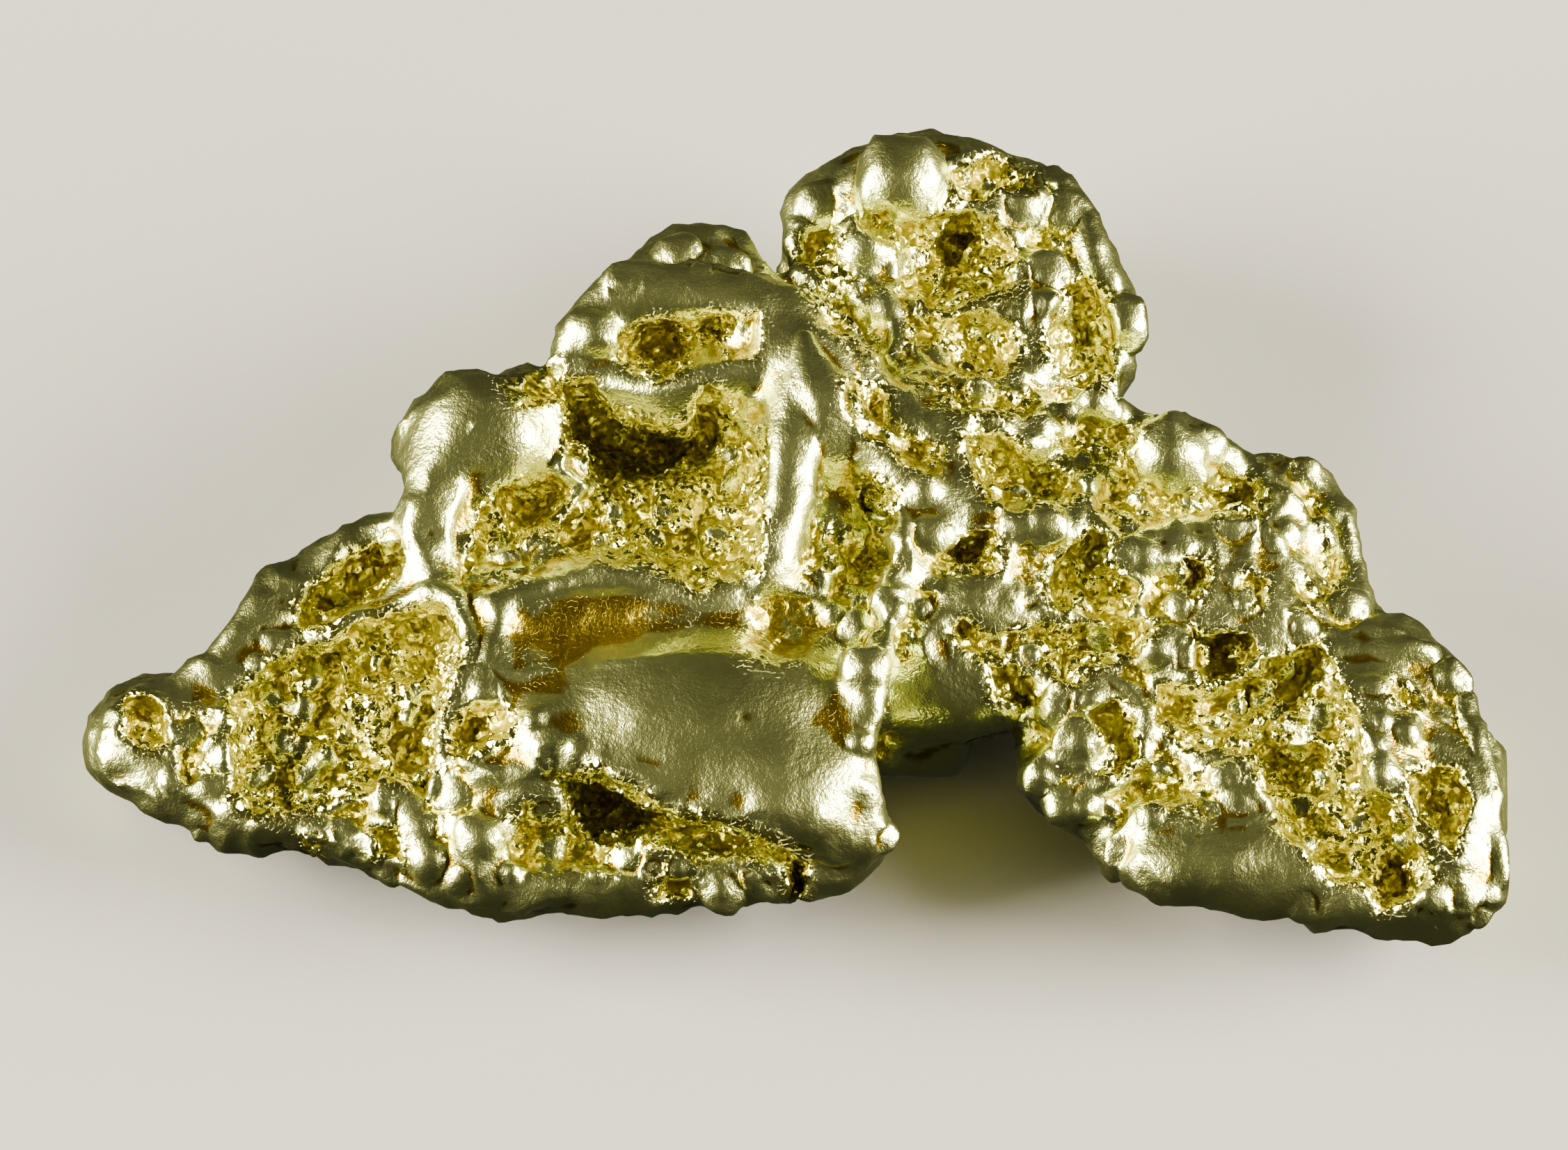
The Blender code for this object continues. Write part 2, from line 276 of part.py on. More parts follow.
    "front_slot": (0.40, 0.0, [(-1.47, -3.20), (-1.13, -3.18), (-1.12, -3.44), (-1.44, -3.42)]),
}

# Hollows that run back under a lip. Same columns as MASSES.
UNDERCUTS = {
    "under_ledge_left": (-1.85, -2.38, 1.62, 0.62, 0.30, 0.26, -12),
    "under_ledge_right": (-0.60, -2.66, 1.50, 0.62, 0.26, 0.24, -8),
    "under_crater_left": (-1.62, 1.68, 2.05, 0.58, 0.28, 0.26, -10),
    "under_crater_right": (-0.90, 1.82, 2.05, 0.24, 0.26, 0.24, 0),
    "under_head_ledge": (1.75, 3.68, 1.62, 0.30, 0.20, 0.22, 0),
}

# The knobs underneath that the nugget stands on: across, distance towards the back, half width.
FEET = [
    (-5.30, -2.85, 0.66),
    (-1.90, -3.70, 0.76),
    (1.70, 2.75, 0.80),
    (4.60, -3.60, 0.78),
    (6.15, -3.60, 0.66),
]
FOOT_BOTTOM = -0.10  # mm, how low a foot reaches before it is worn flat
TABLE_SIZE = 40.0  # mm, the block that wears the feet flat

# Small knobs that are strewn over the underside.
UNDER_SEED = 7
UNDER_STEP = 0.95  # mm between neighbours
UNDER_RADIUS = (0.42, 0.74)  # mm
UNDER_HEIGHT = (0.82, 1.08)  # mm, to a knob's middle
UNDER_SPREAD = 0.55  # of a mass's half width, how far to its side a knob may be
UNDER_REACH = 0.72  # of its half depth, how far towards its front or back
UNDER_FRONT = 0.90  # of its half rise as seen, how low a knob may show

# Relief of the sides that don't show, which no outline above reaches.
LUMP_SIZE = 0.95  # mm between lumps
LUMP_RISE = 0.16  # mm
DENT_SIZE = 0.85  # mm between dents
DENT_WIDTH = 0.42  # of DENT_SIZE
DENT_DEPTH = 0.30  # mm
HIDDEN_SLOPE = 0.35  # a face that turns less than this towards the eye starts to be relieved
HIDDEN_FADE = 0.5  # and is fully relieved when it turns this much less


def clear_scene():
    for thing in list(bpy.data.objects):
        bpy.data.objects.remove(thing, do_unlink=True)


def seen(across, up, height):
    """The point that is seen that far across and up the showing side, at that height above the table."""
    return Vector((across, (up - height * cos(SHOWING_ANGLE)) / sin(SHOWING_ANGLE), height))


def half_depth(half_rise, half_thick):
    """How far an ellipsoid reaches front to back when half of it is seen that tall."""
    flat_part = half_rise**2 - (half_thick * cos(SHOWING_ANGLE)) ** 2
    return sqrt(max(flat_part, (LEAST_DEPTH * half_rise) ** 2)) / sin(SHOWING_ANGLE)


def add_ellipsoid(bm, across, up, height, half_width, half_rise, half_thick, turn):
    """Adds one ellipsoid and returns its vertices."""
    place = Matrix.Translation(seen(across, up, height)) @ Matrix.Rotation(radians(turn), 4, "Z")
    shape = Matrix.Diagonal((half_width, half_depth(half_rise, half_thick), half_thick, 1.0))
    return bmesh.ops.create_icosphere(bm, subdivisions=4, radius=1.0, matrix=place @ shape)["verts"]


def add_ball(bm, centre, radius):
    bmesh.ops.create_icosphere(bm, subdivisions=3, radius=radius, matrix=Matrix.Translation(centre))


def add_ridge(bm, points):
    """Adds one worn ridge: a tube along a smooth line, thick as its points say, with round ends."""
    line = bpy.data.curves.new("ridge", "CURVE")
    line.dimensions = "3D"
    line.bevel_depth = 1.0
    line.bevel_resolution = 4
    line.use_fill_caps = True
    spline = line.splines.new("NURBS")
    spline.points.add(len(points) - 1)
    spline.order_u = 3
    spline.use_endpoint_u = True
    spline.resolution_u = 6
    for target, (across, up, height, half) in zip(spline.points, points):
        target.co = (*seen(across, up, height), 1.0)
        target.radius = half
    tube = bpy.data.objects.new("ridge", line)
    bpy.context.scene.collection.objects.link(tube)
    bpy.context.view_layer.update()
    mesh = bpy.data.meshes.new_from_object(tube.evaluated_get(bpy.context.evaluated_depsgraph_get()))
    bm.from_mesh(mesh)
    bpy.data.objects.remove(tube)
    bpy.data.meshes.remove(mesh)
    for across, up, height, half in (points[0], points[-1]):
        add_ball(bm, seen(across, up, height), half)


def add_underside(bm):
    """Strews worn knobs under the masses, none in front of the mass it is under, and sets the feet."""
    pick = random.Random(UNDER_SEED)
    for across, up, height, half_width, half_rise, half_thick, _ in MASSES.values():
        middle = seen(across, up, height)
        reach = half_depth(half_rise, half_thick)
        rows = max(1, round(2 * reach / UNDER_STEP))
        for row in range(rows):
            along = -1 + (2 * row + 1) / rows
            x = middle.x + pick.uniform(-UNDER_SPREAD, UNDER_SPREAD) * half_width
            z = pick.uniform(*UNDER_HEIGHT)
            radius = pick.uniform(*UNDER_RADIUS)
            nearest = seen(x, up - UNDER_FRONT * half_rise + radius, z).y
            y = max(middle.y + along * UNDER_REACH * reach, nearest)
            add_ball(bm, Vector((x, y, z)), radius)
    for across, back, half in FEET:
        add_ball(bm, Vector((across, back, FOOT_BOTTOM + half)), half)


def object_from(bm, name):
    mesh = bpy.data.meshes.new(name)
    bm.to_mesh(mesh)
    bm.free()
    thing = bpy.data.objects.new(name, mesh)
    bpy.context.scene.collection.objects.link(thing)
    return thing


def add_remesh(thing, voxel):
    remesh = thing.modifiers.new("Fuse", "REMESH")
    remesh.mode = "VOXEL"
    remesh.voxel_size = voxel


def add_smooth(thing, times):
    smooth = thing.modifiers.new("Wear", "SMOOTH")
    smooth.factor = 0.5
    smooth.iterations = times


def bake(thing):
    """Turns what the object's modifiers make into its own mesh."""
    bpy.context.view_layer.update()
    graph = bpy.context.evaluated_depsgraph_get()
    made = bpy.data.meshes.new_from_object(thing.evaluated_get(graph))
    thing.modifiers.clear()
    thing.data = made


def cut(thing, bm):
    """Takes the shape in bm away from the object."""
    cutter = object_from(bm, "cutter")
    boolean = thing.modifiers.new("Cut", "BOOLEAN")
    boolean.operation = "DIFFERENCE"
    boolean.object = cutter
    boolean.solver = "EXACT"
    bake(thing)
    bpy.data.objects.remove(cutter)


def keep_largest_island(thing):
    """Drops crumbs that the hollows cut loose."""
    bm = bmesh.new()
    bm.from_mesh(thing.data)
    left = set(bm.verts)
    islands = []
    while left:
        island, edge = set(), [left.pop()]
        while edge:
            vert = edge.pop()
            island.add(vert)
            for link in vert.link_edges:
                other = link.other_vert(vert)
                if other in left:
                    left.remove(other)
                    edge.append(other)
        islands.append(island)
    islands.sort(key=len)
    crumbs = [vert for island in islands[:-1] for vert in island]
    bmesh.ops.delete(bm, geom=crumbs, context="VERTS")
    bm.to_mesh(thing.data)
    bm.free()


def worn_body():
    """The masses, knobs and ridges fused into one skin and rounded by wear."""
    bm = bmesh.new()
    for values in [*MASSES.values(), *KNOBS.values()]:
        add_ellipsoid(bm, *values)
    for points in RIDGES.values():
        add_ridge(bm, points)
    add_underside(bm)
    body = object_from(bm, "nugget")
    add_remesh(body, FUSE_VOXEL)
    add_smooth(body, WEAR_PASSES)
    bake(body)
    return body


def depth_inside(points, outline):
    """How far inside an outline each point is, or zero outside it. Points and outline are flat."""
    starts = np.array(outline)
    ends = np.roll(starts, -1, axis=0)
    nearest = np.full(len(points), np.inf)
    inside = np.zeros(len(points), dtype=bool)
    for start, end in zip(starts, ends):
        side = end - start
        along = np.clip((points - start) @ side / (side @ side), 0, 1)
        nearest = np.minimum(nearest, np.linalg.norm(points - start - along[:, None] * side, axis=1))
        crosses = (start[1] > points[:, 1]) != (end[1] > points[:, 1])
        level = (points[:, 1] - start[1]) / (side[1] if side[1] else 1.0)
        inside ^= crosses & (points[:, 0] < start[0] + level * side[0])
    return np.where(inside, nearest, 0.0)


def carve_pits(body):
    """Sinks the pits into the showing side, straight down the line of sight."""
    verts = body.data.vertices
    points = np.array([(vert.co.x, vert.co.y * sin(SHOWING_ANGLE) + vert.co.z * cos(SHOWING_ANGLE))
                       for vert in verts])
    sunk = np.zeros(len(verts))
    for depth, rough, outline in PITS.values():
        share = np.clip(depth_inside(points, outline) / PIT_WALL, 0, 1)
        share = share * share * (3 - 2 * share)
        knobble = [noise.fractal(vert.co / KNOBBLE_SIZE, KNOBBLE_FALL, 2.0, 2) if part else 0.0
                   for vert, part in zip(verts, share)]
        sunk += share * (depth - rough * 2.0 * np.array(knobble))
    faces = [face.vertices[:] for face in body.data.polygons]
    tree = BVHTree.FromPolygons([vert.co.copy() for vert in verts], faces)
    normals = [vert.normal.copy() for vert in verts]
    for vert, normal, depth in zip(verts, normals, sunk):
        if depth == 0 or normal @ SIGHT <= 0:
            continue
        if tree.ray_cast(vert.co + normal * RAY_START, SIGHT)[0]:
            continue
        thick = tree.ray_cast(vert.co - normal * RAY_START, -SIGHT)[3] or 0.0
        vert.co -= SIGHT * min(depth, thick * (1 - KEEP_UNDER_PIT))
    add_remesh(body, FUSE_VOXEL)
    bake(body)


def roughen_hidden_sides(body):
    """Raises lumps and sinks dents on the back and the underside, fading out towards the showing side."""
    normals = [vert.normal.copy() for vert in body.data.vertices]
    for vert, normal in zip(body.data.vertices, normals):
        hidden = min(max(HIDDEN_SLOPE - normal @ SIGHT, 0.0) / HIDDEN_FADE, 1.0)
        if not hidden:
            continue
        lump = noise.noise(vert.co / LUMP_SIZE) + 0.5 * noise.noise(vert.co * 2.3 / LUMP_SIZE)
        dent = max(1 - noise.voronoi(vert.co / DENT_SIZE)[0][0] / DENT_WIDTH, 0.0)
        vert.co += normal * hidden * (LUMP_RISE * lump - DENT_DEPTH * dent * dent)


def cut_undersides(body):
    """Opens the hollows under the lips, and drops crumbs that come loose."""
    bm = bmesh.new()
    for values in UNDERCUTS.values():
        add_ellipsoid(bm, *values)
    cut(body, bm)
    add_remesh(body, FUSE_VOXEL)
    add_smooth(body, 1)
    bake(body)
    keep_largest_island(body)


def thin_out(body):
    """Brings the skin down to SOLID_FACES triangles."""
    body.data.calc_loop_triangles()
    decimate = body.modifiers.new("Thin", "DECIMATE")
    decimate.ratio = SOLID_FACES / len(body.data.loop_triangles)
    bake(body)


def wear_feet(body):
    """Sets the nugget down, wears its feet flat on the table and centres it. Returns how far it was moved."""
    lowest = min(vert.co.z for vert in body.data.vertices)
    drop = Vector((0, 0, -lowest - FOOT_DEPTH))
    body.data.transform(Matrix.Translation(drop))
    bm = bmesh.new()
    bmesh.ops.create_cube(bm, size=TABLE_SIZE, matrix=Matrix.Translation((0, 0, -TABLE_SIZE / 2)))
    cut(body, bm)
    xs = [vert.co.x for vert in body.data.vertices]
    ys = [vert.co.y for vert in body.data.vertices]
    middle = Vector(((min(xs) + max(xs)) / 2, (min(ys) + max(ys)) / 2, 0))
    body.data.transform(Matrix.Translation(-middle))
    return drop - middle


def native_gold():
    gold = bpy.data.materials.new("native_gold")
    gold.use_nodes = True
    shader = gold.node_tree.nodes["Principled BSDF"]
    shader.inputs["Base Color"].default_value = (0.83, 0.60, 0.22, 1.0)
    shader.inputs["Metallic"].default_value = 1.0
    shader.inputs["Roughness"].default_value = 0.3
    return gold


def put_in_collection(thing, name):
    group = bpy.data.collections.new(name)
    bpy.context.scene.collection.children.link(group)
    for old in list(thing.users_collection):
        old.objects.unlink(thing)
    group.objects.link(thing)


def main():
    """Makes the nugget. Returns how far, in mm, it lies from where the lists above place it."""
    clear_scene()
    nugget = worn_body()
    roughen_hidden_sides(nugget)
    carve_pits(nugget)
    cut_undersides(nugget)
    thin_out(nugget)
    move = wear_feet(nugget)
    nugget.data.transform(Matrix.Scale(MM, 4))
    nugget.data.materials.clear()
    nugget.data.materials.append(native_gold())
    nugget.data.shade_smooth()
    nugget.data.set_sharp_from_angle(angle=CREASE)
    put_in_collection(nugget, "gold_nugget")
    return move


if __name__ == "__main__":
    main()
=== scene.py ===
import random
from math import cos, radians, sin

import bmesh
import bpy
import numpy as np
from mathutils import Matrix, Vector, noise
from mathutils.bvhtree import BVHTree


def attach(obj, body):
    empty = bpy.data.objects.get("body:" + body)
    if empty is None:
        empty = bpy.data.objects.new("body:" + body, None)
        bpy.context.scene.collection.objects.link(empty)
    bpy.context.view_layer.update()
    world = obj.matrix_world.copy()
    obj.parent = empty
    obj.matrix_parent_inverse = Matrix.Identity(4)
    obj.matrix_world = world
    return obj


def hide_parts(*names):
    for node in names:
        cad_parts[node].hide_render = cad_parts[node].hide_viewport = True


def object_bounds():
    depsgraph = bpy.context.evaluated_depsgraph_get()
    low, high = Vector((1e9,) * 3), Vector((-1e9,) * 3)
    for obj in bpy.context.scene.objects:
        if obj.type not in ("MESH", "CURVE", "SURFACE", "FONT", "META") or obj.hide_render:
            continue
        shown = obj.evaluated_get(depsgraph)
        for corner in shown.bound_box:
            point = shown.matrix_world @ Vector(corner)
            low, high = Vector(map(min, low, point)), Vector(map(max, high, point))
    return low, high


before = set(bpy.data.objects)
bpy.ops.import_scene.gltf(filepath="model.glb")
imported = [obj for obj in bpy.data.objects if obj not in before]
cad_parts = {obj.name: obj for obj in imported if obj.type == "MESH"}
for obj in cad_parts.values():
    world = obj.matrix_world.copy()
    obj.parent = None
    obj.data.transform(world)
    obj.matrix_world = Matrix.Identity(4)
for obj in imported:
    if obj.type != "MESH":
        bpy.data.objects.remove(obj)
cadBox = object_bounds()

# One nugget of native gold. Its skin is worked in millimetres and turned to metres at the end.
mm = 0.001
lookAngle = radians(55.0)  # the showing side is looked down on from the front at this angle
toEye = Vector((0, -cos(lookAngle), sin(lookAngle)))
upView = Vector((0, sin(lookAngle), cos(lookAngle)))
listShift = Vector((0.0342, 0.4246, -0.0235))  # mm, from a place in the lists to where the metal lies
farOff = 30  # mm towards the eye, where a line of sight starts
unlike = Vector((9, 4, 2))  # added to a place, gives noise that has nothing to do with the noise there


# Small helpers.

def objectFrom(bm, name):
    mesh = bpy.data.meshes.new(name)
    bm.to_mesh(mesh)
    bm.free()
    made = bpy.data.objects.new(name, mesh)
    bpy.context.scene.collection.objects.link(made)
    return made


def modify(thing, kind, **settings):
    modifier = thing.modifiers.new(kind.title(), kind)
    for key, value in settings.items():
        setattr(modifier, key, value)


def bake(thing):
    # what the modifiers make becomes the object's own mesh
    bpy.context.view_layer.update()
    graph = bpy.context.evaluated_depsgraph_get()
    made = bpy.data.meshes.new_from_object(thing.evaluated_get(graph))
    thing.modifiers.clear()
    thing.data = made


def rowsOf(thing, what):
    # every vertex's "co" or "normal" as rows of x, y, z
    found = np.empty(len(thing.data.vertices) * 3)
    thing.data.vertices.foreach_get(what, found)
    return found.reshape(-1, 3)


def moveTo(thing, places):
    thing.data.vertices.foreach_set("co", places.ravel())
    thing.data.update()


def treeOf(thing):
    bm = bmesh.new()
    bm.from_mesh(thing.data)
    tree = BVHTree.FromBMesh(bm)
    bm.free()
    return tree


def asSeen(places):
    # across and up the view, as the lists have it
    moved = places - np.array(listShift)
    up = moved[:, 1] * sin(lookAngle) + moved[:, 2] * cos(lookAngle)
    return np.stack([moved[:, 0], up], axis=1)


def easeIn(share):
    share = np.clip(share, 0, 1)
    return share * share * (3 - 2 * share)


def linear(code):
    # an sRGB hex colour as the linear colour that a socket takes
    parts = [int(code[at:at + 2], 16) / 255 for at in (1, 3, 5)]
    return [p / 12.92 if p <= 0.04045 else ((p + 0.055) / 1.055) ** 2.4 for p in parts] + [1.0]


def addNode(tree, kind, links=None, inputs=None, **settings):
    # one node with its settings, input values and links
    made = tree.nodes.new(kind)
    for key, value in settings.items():
        setattr(made, key, value)
    for key, value in (inputs or {}).items():
        made.inputs[key].default_value = value
    for key, source in (links or {}).items():
        tree.links.new(source, made.inputs[key])
    return made


# The skin.

skin = {
    "voxel": 0.030,  # mm, how fine the skin is worked
    "faces": 190000,  # triangles left in the finished skin
    "merge": 0.0005,  # mm, corners of the solid nearer than this are one
    "swell": 0.008,  # mm, what rounding the facets took away
    "soften": (8, 3, 1),  # rounds of smoothing: the bare skin, then with its beads, then with its pits
    "sunk": 0.35,  # of its half width, how deep a ridge lies in the skin
    "ridgeRise": 0.16,  # mm, the most that a broad ridge stands out
    "deeper": 0.40,  # of a pit's own depth, how much further it is sunk
    "lipHeight": 0.014,  # mm, the burnished lip round a crisp pit
    "lipWidth": 0.09,  # mm
    "rimWidth": 0.055,  # mm, half the width of the yellow rim round a crisp pit
    "tintEdge": 0.22,  # mm over which a pit's colour fades out, where its own wall is narrower
    "fullPit": 0.26,  # mm, a pit this deep has all its grain and colour, and a shallower one has less
    "smoothEdge": 0.3,  # mm over which a smooth part fades out
    "capReach": 0.95,  # of a bead's half width, how far its worn top reaches
    "capEdge": 0.35,  # of the half width, over which that fades out
    "capCalm": 0.8,  # how smooth a bead's top is
    "ragged": ((0.45, 0.11), (0.16, 0.05)),  # mm, the size and the reach of the edges' raggedness
    "balls": ((0.46, 0.130), (0.23, 0.070), (0.11, 0.030)),  # mm between a pit's balls, and their rise
    "ballWidth": (0.50, 0.85),  # of the distance between two, how wide a ball is
    "lumps": ((0.85, 0.110), (0.40, 0.050), (0.19, 0.014)),  # mm between worn lumps, and their rise
    "lumpTop": 0.7,  # of its rise, how high a lump's top stands
    "lumpFall": 2,  # how steeply it falls away to its root
    "hollowRounds": 150,  # rounds of smoothing that tell a hollow from a hump
    "hollowDepth": 0.050,  # mm, a hollow this deep is as rough as a pit
    "barely": 0.02,  # a share of pit, or of worn metal, too small to work out
    "dents": (0.62, 0.16, 0.030),  # mm between dents of the worn metal, their half width and depth
    "slack": 0.001,  # mm, how far inside the solid's box the skin is kept
    "tintRounds": 60,  # rounds of smoothing that tell a hollow from a hump for the colour
    "wearRounds": 12,  # and for the wear and the painted crease shade
    "wornHump": 0.03,  # mm, half of this above the skin around it is wholly worn
}

# Where wear left the metal smooth: how smooth, from 0 to 1, then the outline as seen.
smoothParts = [
    (0.85, [(-3.2, -1.1), (-1.2, -0.8), (0.5, -1.0), (0.8, -1.6), (0.6, -2.5), (-0.2, -2.4),
        (-1.2, -2.3), (-2.0, -1.9), (-3.0, -1.5)]),
    (0.9, [(-3.1, -0.7), (-2.9, -0.2), (-1.5, -0.1), (-0.9, -0.3), (0.3, -0.1), (0.5, -0.6),
        (0.5, -1.0), (-1.2, -0.9), (-3.0, -1.1)]),
    (0.75, [(-2.1, 2.0), (-1.2, 1.7), (-0.4, 1.9), (-0.2, 1.3), (-0.25, 0.2), (0.2, 0.2), (0.2, 1.4),
        (1.0, 0.9), (1.9, 0.6), (1.9, 1.0), (0.8, 2.1), (0.1, 2.9), (-1.0, 3.2), (-2.2, 2.9),
        (-2.5, 2.3)]),
    (0.75, [(0.1, 0.5), (0.1, 1.5), (1.0, 1.5), (1.6, 0.9), (1.5, 0.5), (1.1, 0.55), (0.6, 0.5)]),
    (0.7, [(-4.0, 0.8), (-3.4, 0.9), (-2.6, 1.0), (-2.5, 1.6), (-3.0, 2.1), (-3.9, 2.0), (-4.2, 1.4)]),
    (0.7, [(0.9, -0.8), (1.8, -1.0), (2.4, -1.8), (1.4, -1.9), (0.9, -1.5)]),
    (0.6, [(3.7, -2.8), (4.6, -2.6), (5.6, -3.3), (5.2, -3.6), (4.2, -3.5)]),
    (0.6, [(0.5, 3.9), (1.0, 4.0), (1.5, 3.9), (1.7, 4.3), (1.1, 4.6), (0.5, 4.3)]),
    (0.5, [(5.5, -1.0), (6.0, -0.7), (6.7, -0.8), (7.2, -2.2), (7.4, -3.3), (7.1, -3.3), (6.9, -2.0),
        (6.3, -1.1)]),
]

# Beads strewn wherever wear hasn't smoothed the metal.
strewn = {
    "seed": 11,
    "area": ((-7.3, -3.6), (7.3, 4.6)),  # mm across and up the view, from corner to corner
    "apart": 0.42,  # mm
    "cluster": 1.1,  # mm across the clusters that they lie in
    "bare": 0.0,  # from -0.5 to 0.5, more leaves more of the metal bare
    "half": (0.10, 0.26),  # mm
    "halfInPit": (0.07, 0.17),  # mm
    "lift": (-0.8, -0.15),  # of its half width, how far the middle is lifted
    "calm": 0.4,  # no bead where the metal is smoother than this
    "deepest": 0.6,  # mm, nor in a pit deeper than this
    "clear": 0.22,  # mm, nor nearer than this to a ridge
    "along": 8,  # places looked at on each stretch of a ridge
    "facing": 0.45,  # nor where it turns away from the eye more than this
}

# Beads of metal that stand on the skin: across, up, half width, how far the middle is lifted, in mm.
beads = [
    (1.1, 4.12, 0.5, -0.2), (0.72, 3.41, 0.33, -0.2), (2.66, 3.1, 0.24, -0.1), (2.66, 2.8, 0.22, -0.1),
    (2.4, 3.86, 0.3, -0.18), (0.27, 3.85, 0.26, -0.16), (1.0, 2.73, 0.22, -0.14),
    (2.85, 3.75, 0.26, -0.12), (1.75, 4.25, 0.18, -0.08), (1.55, 2.25, 0.2, -0.1),
    (2.25, 2.35, 0.17, -0.08), (3.95, 1.2, 0.42, -0.2), (3.3, 0.95, 0.18, -0.06),
    (2.6, 0.5, 0.22, -0.1), (4.6, 0.45, 0.24, -0.12), (5.35, 0.95, 0.24, -0.1), (5.45, 0.3, 0.22, -0.1),
    (2.98, -1.8, 0.24, -0.12), (3.1, -1.35, 0.2, -0.1), (2.75, -1.45, 0.18, -0.08),
    (1.4, 0.35, 0.26, -0.14), (1.35, 0.85, 0.2, -0.1), (2.3, 0.75, 0.18, -0.08),
    (3.8, -0.85, 0.24, -0.12), (3.2, -0.7, 0.18, -0.08), (-6.35, -1.75, 0.22, -0.12),
    (-6.2, -2.3, 0.24, -0.14), (-5.2, -1.42, 0.18, -0.08), (-5.15, -2.2, 0.2, -0.08),
    (-4.75, -2.75, 0.2, -0.08), (-2.6, -2.95, 0.26, -0.14), (-1.75, -3.0, 0.22, -0.12),
    (0.35, -0.45, 0.18, -0.08), (0.8, 0.3, 0.16, -0.06), (-2.12, 2.5, 0.3, -0.16),
    (-0.52, 2.48, 0.24, -0.12), (-1.25, 3.3, 0.24, -0.12), (-0.75, 3.2, 0.22, -0.12),
    (0.72, -1.05, 0.26, -0.1), (-6.1, -1.95, 0.2, -0.04), (-5.55, -1.35, 0.16, -0.02),
    (-5.45, -1.8, 0.17, -0.02), (-5.1, -1.15, 0.13, 0.0), (-5.3, -2.85, 0.13, -0.05),
    (-5.08, -3.0, 0.11, -0.05), (-4.6, -2.9, 0.15, -0.05), (-4.28, -3.1, 0.16, -0.08),
    (-3.95, -2.75, 0.24, -0.1), (-3.8, -2.25, 0.2, -0.08), (-4.95, -1.95, 0.14, -0.02),
    (-5.75, -2.2, 0.17, -0.03), (0.65, -1.8, 0.15, -0.06), (0.9, -2.8, 0.13, -0.06),
    (-2.1, -3.2, 0.13, -0.05), (-1.5, -3.1, 0.11, -0.03), (-1.25, -3.1, 0.13, -0.03),
    (-0.85, -3.2, 0.14, -0.04), (-0.45, -3.2, 0.12, -0.03), (-0.25, -3.05, 0.12, -0.03),
    (-3.0, -3.15, 0.14, -0.06), (3.52, 2.62, 0.28, -0.06), (3.15, 1.8, 0.2, -0.06),
    (1.85, 1.3, 0.11, 0.0), (2.15, 1.2, 0.1, 0.0), (4.55, 1.15, 0.18, -0.08), (5.02, 0.3, 0.16, -0.06),
    (3.45, 0.13, 0.14, -0.04), (3.88, 0.13, 0.14, -0.04), (2.35, 0.45, 0.18, -0.08),
    (5.3, -0.6, 0.16, -0.04), (4.1, -0.85, 0.16, -0.05), (2.58, -2.15, 0.18, -0.06),
    (3.02, -2.5, 0.18, -0.06), (3.45, -2.92, 0.16, -0.06), (3.75, -2.6, 0.14, -0.04),
    (3.85, -2.1, 0.15, -0.03), (4.5, -2.2, 0.15, -0.04), (4.8, -2.3, 0.13, -0.04),
    (4.95, -1.35, 0.11, -0.01), (5.1, -1.48, 0.1, -0.01), (5.22, -1.62, 0.11, -0.01),
    (5.55, -1.5, 0.18, -0.03), (5.85, -1.7, 0.13, -0.02), (6.15, -1.6, 0.13, -0.03),
    (6.2, -2.15, 0.14, -0.03), (4.7, -0.9, 0.11, 0.0), (5.2, -1.0, 0.12, -0.01),
    (7.0, -3.4, 0.16, -0.06), (6.65, -3.4, 0.14, -0.05), (7.18, -3.55, 0.12, -0.05),
    (0.1, -3.28, 0.12, -0.05), (-3.3, -2.8, 0.26, -0.12), (1.02, -0.42, 0.12, -0.03),
    (1.3, -0.42, 0.12, -0.03), (-2.75, -1.55, 0.16, -0.08),
]

# Where beads went, as seen, and their half widths: their tops stay worn even in a pit.
caps = []

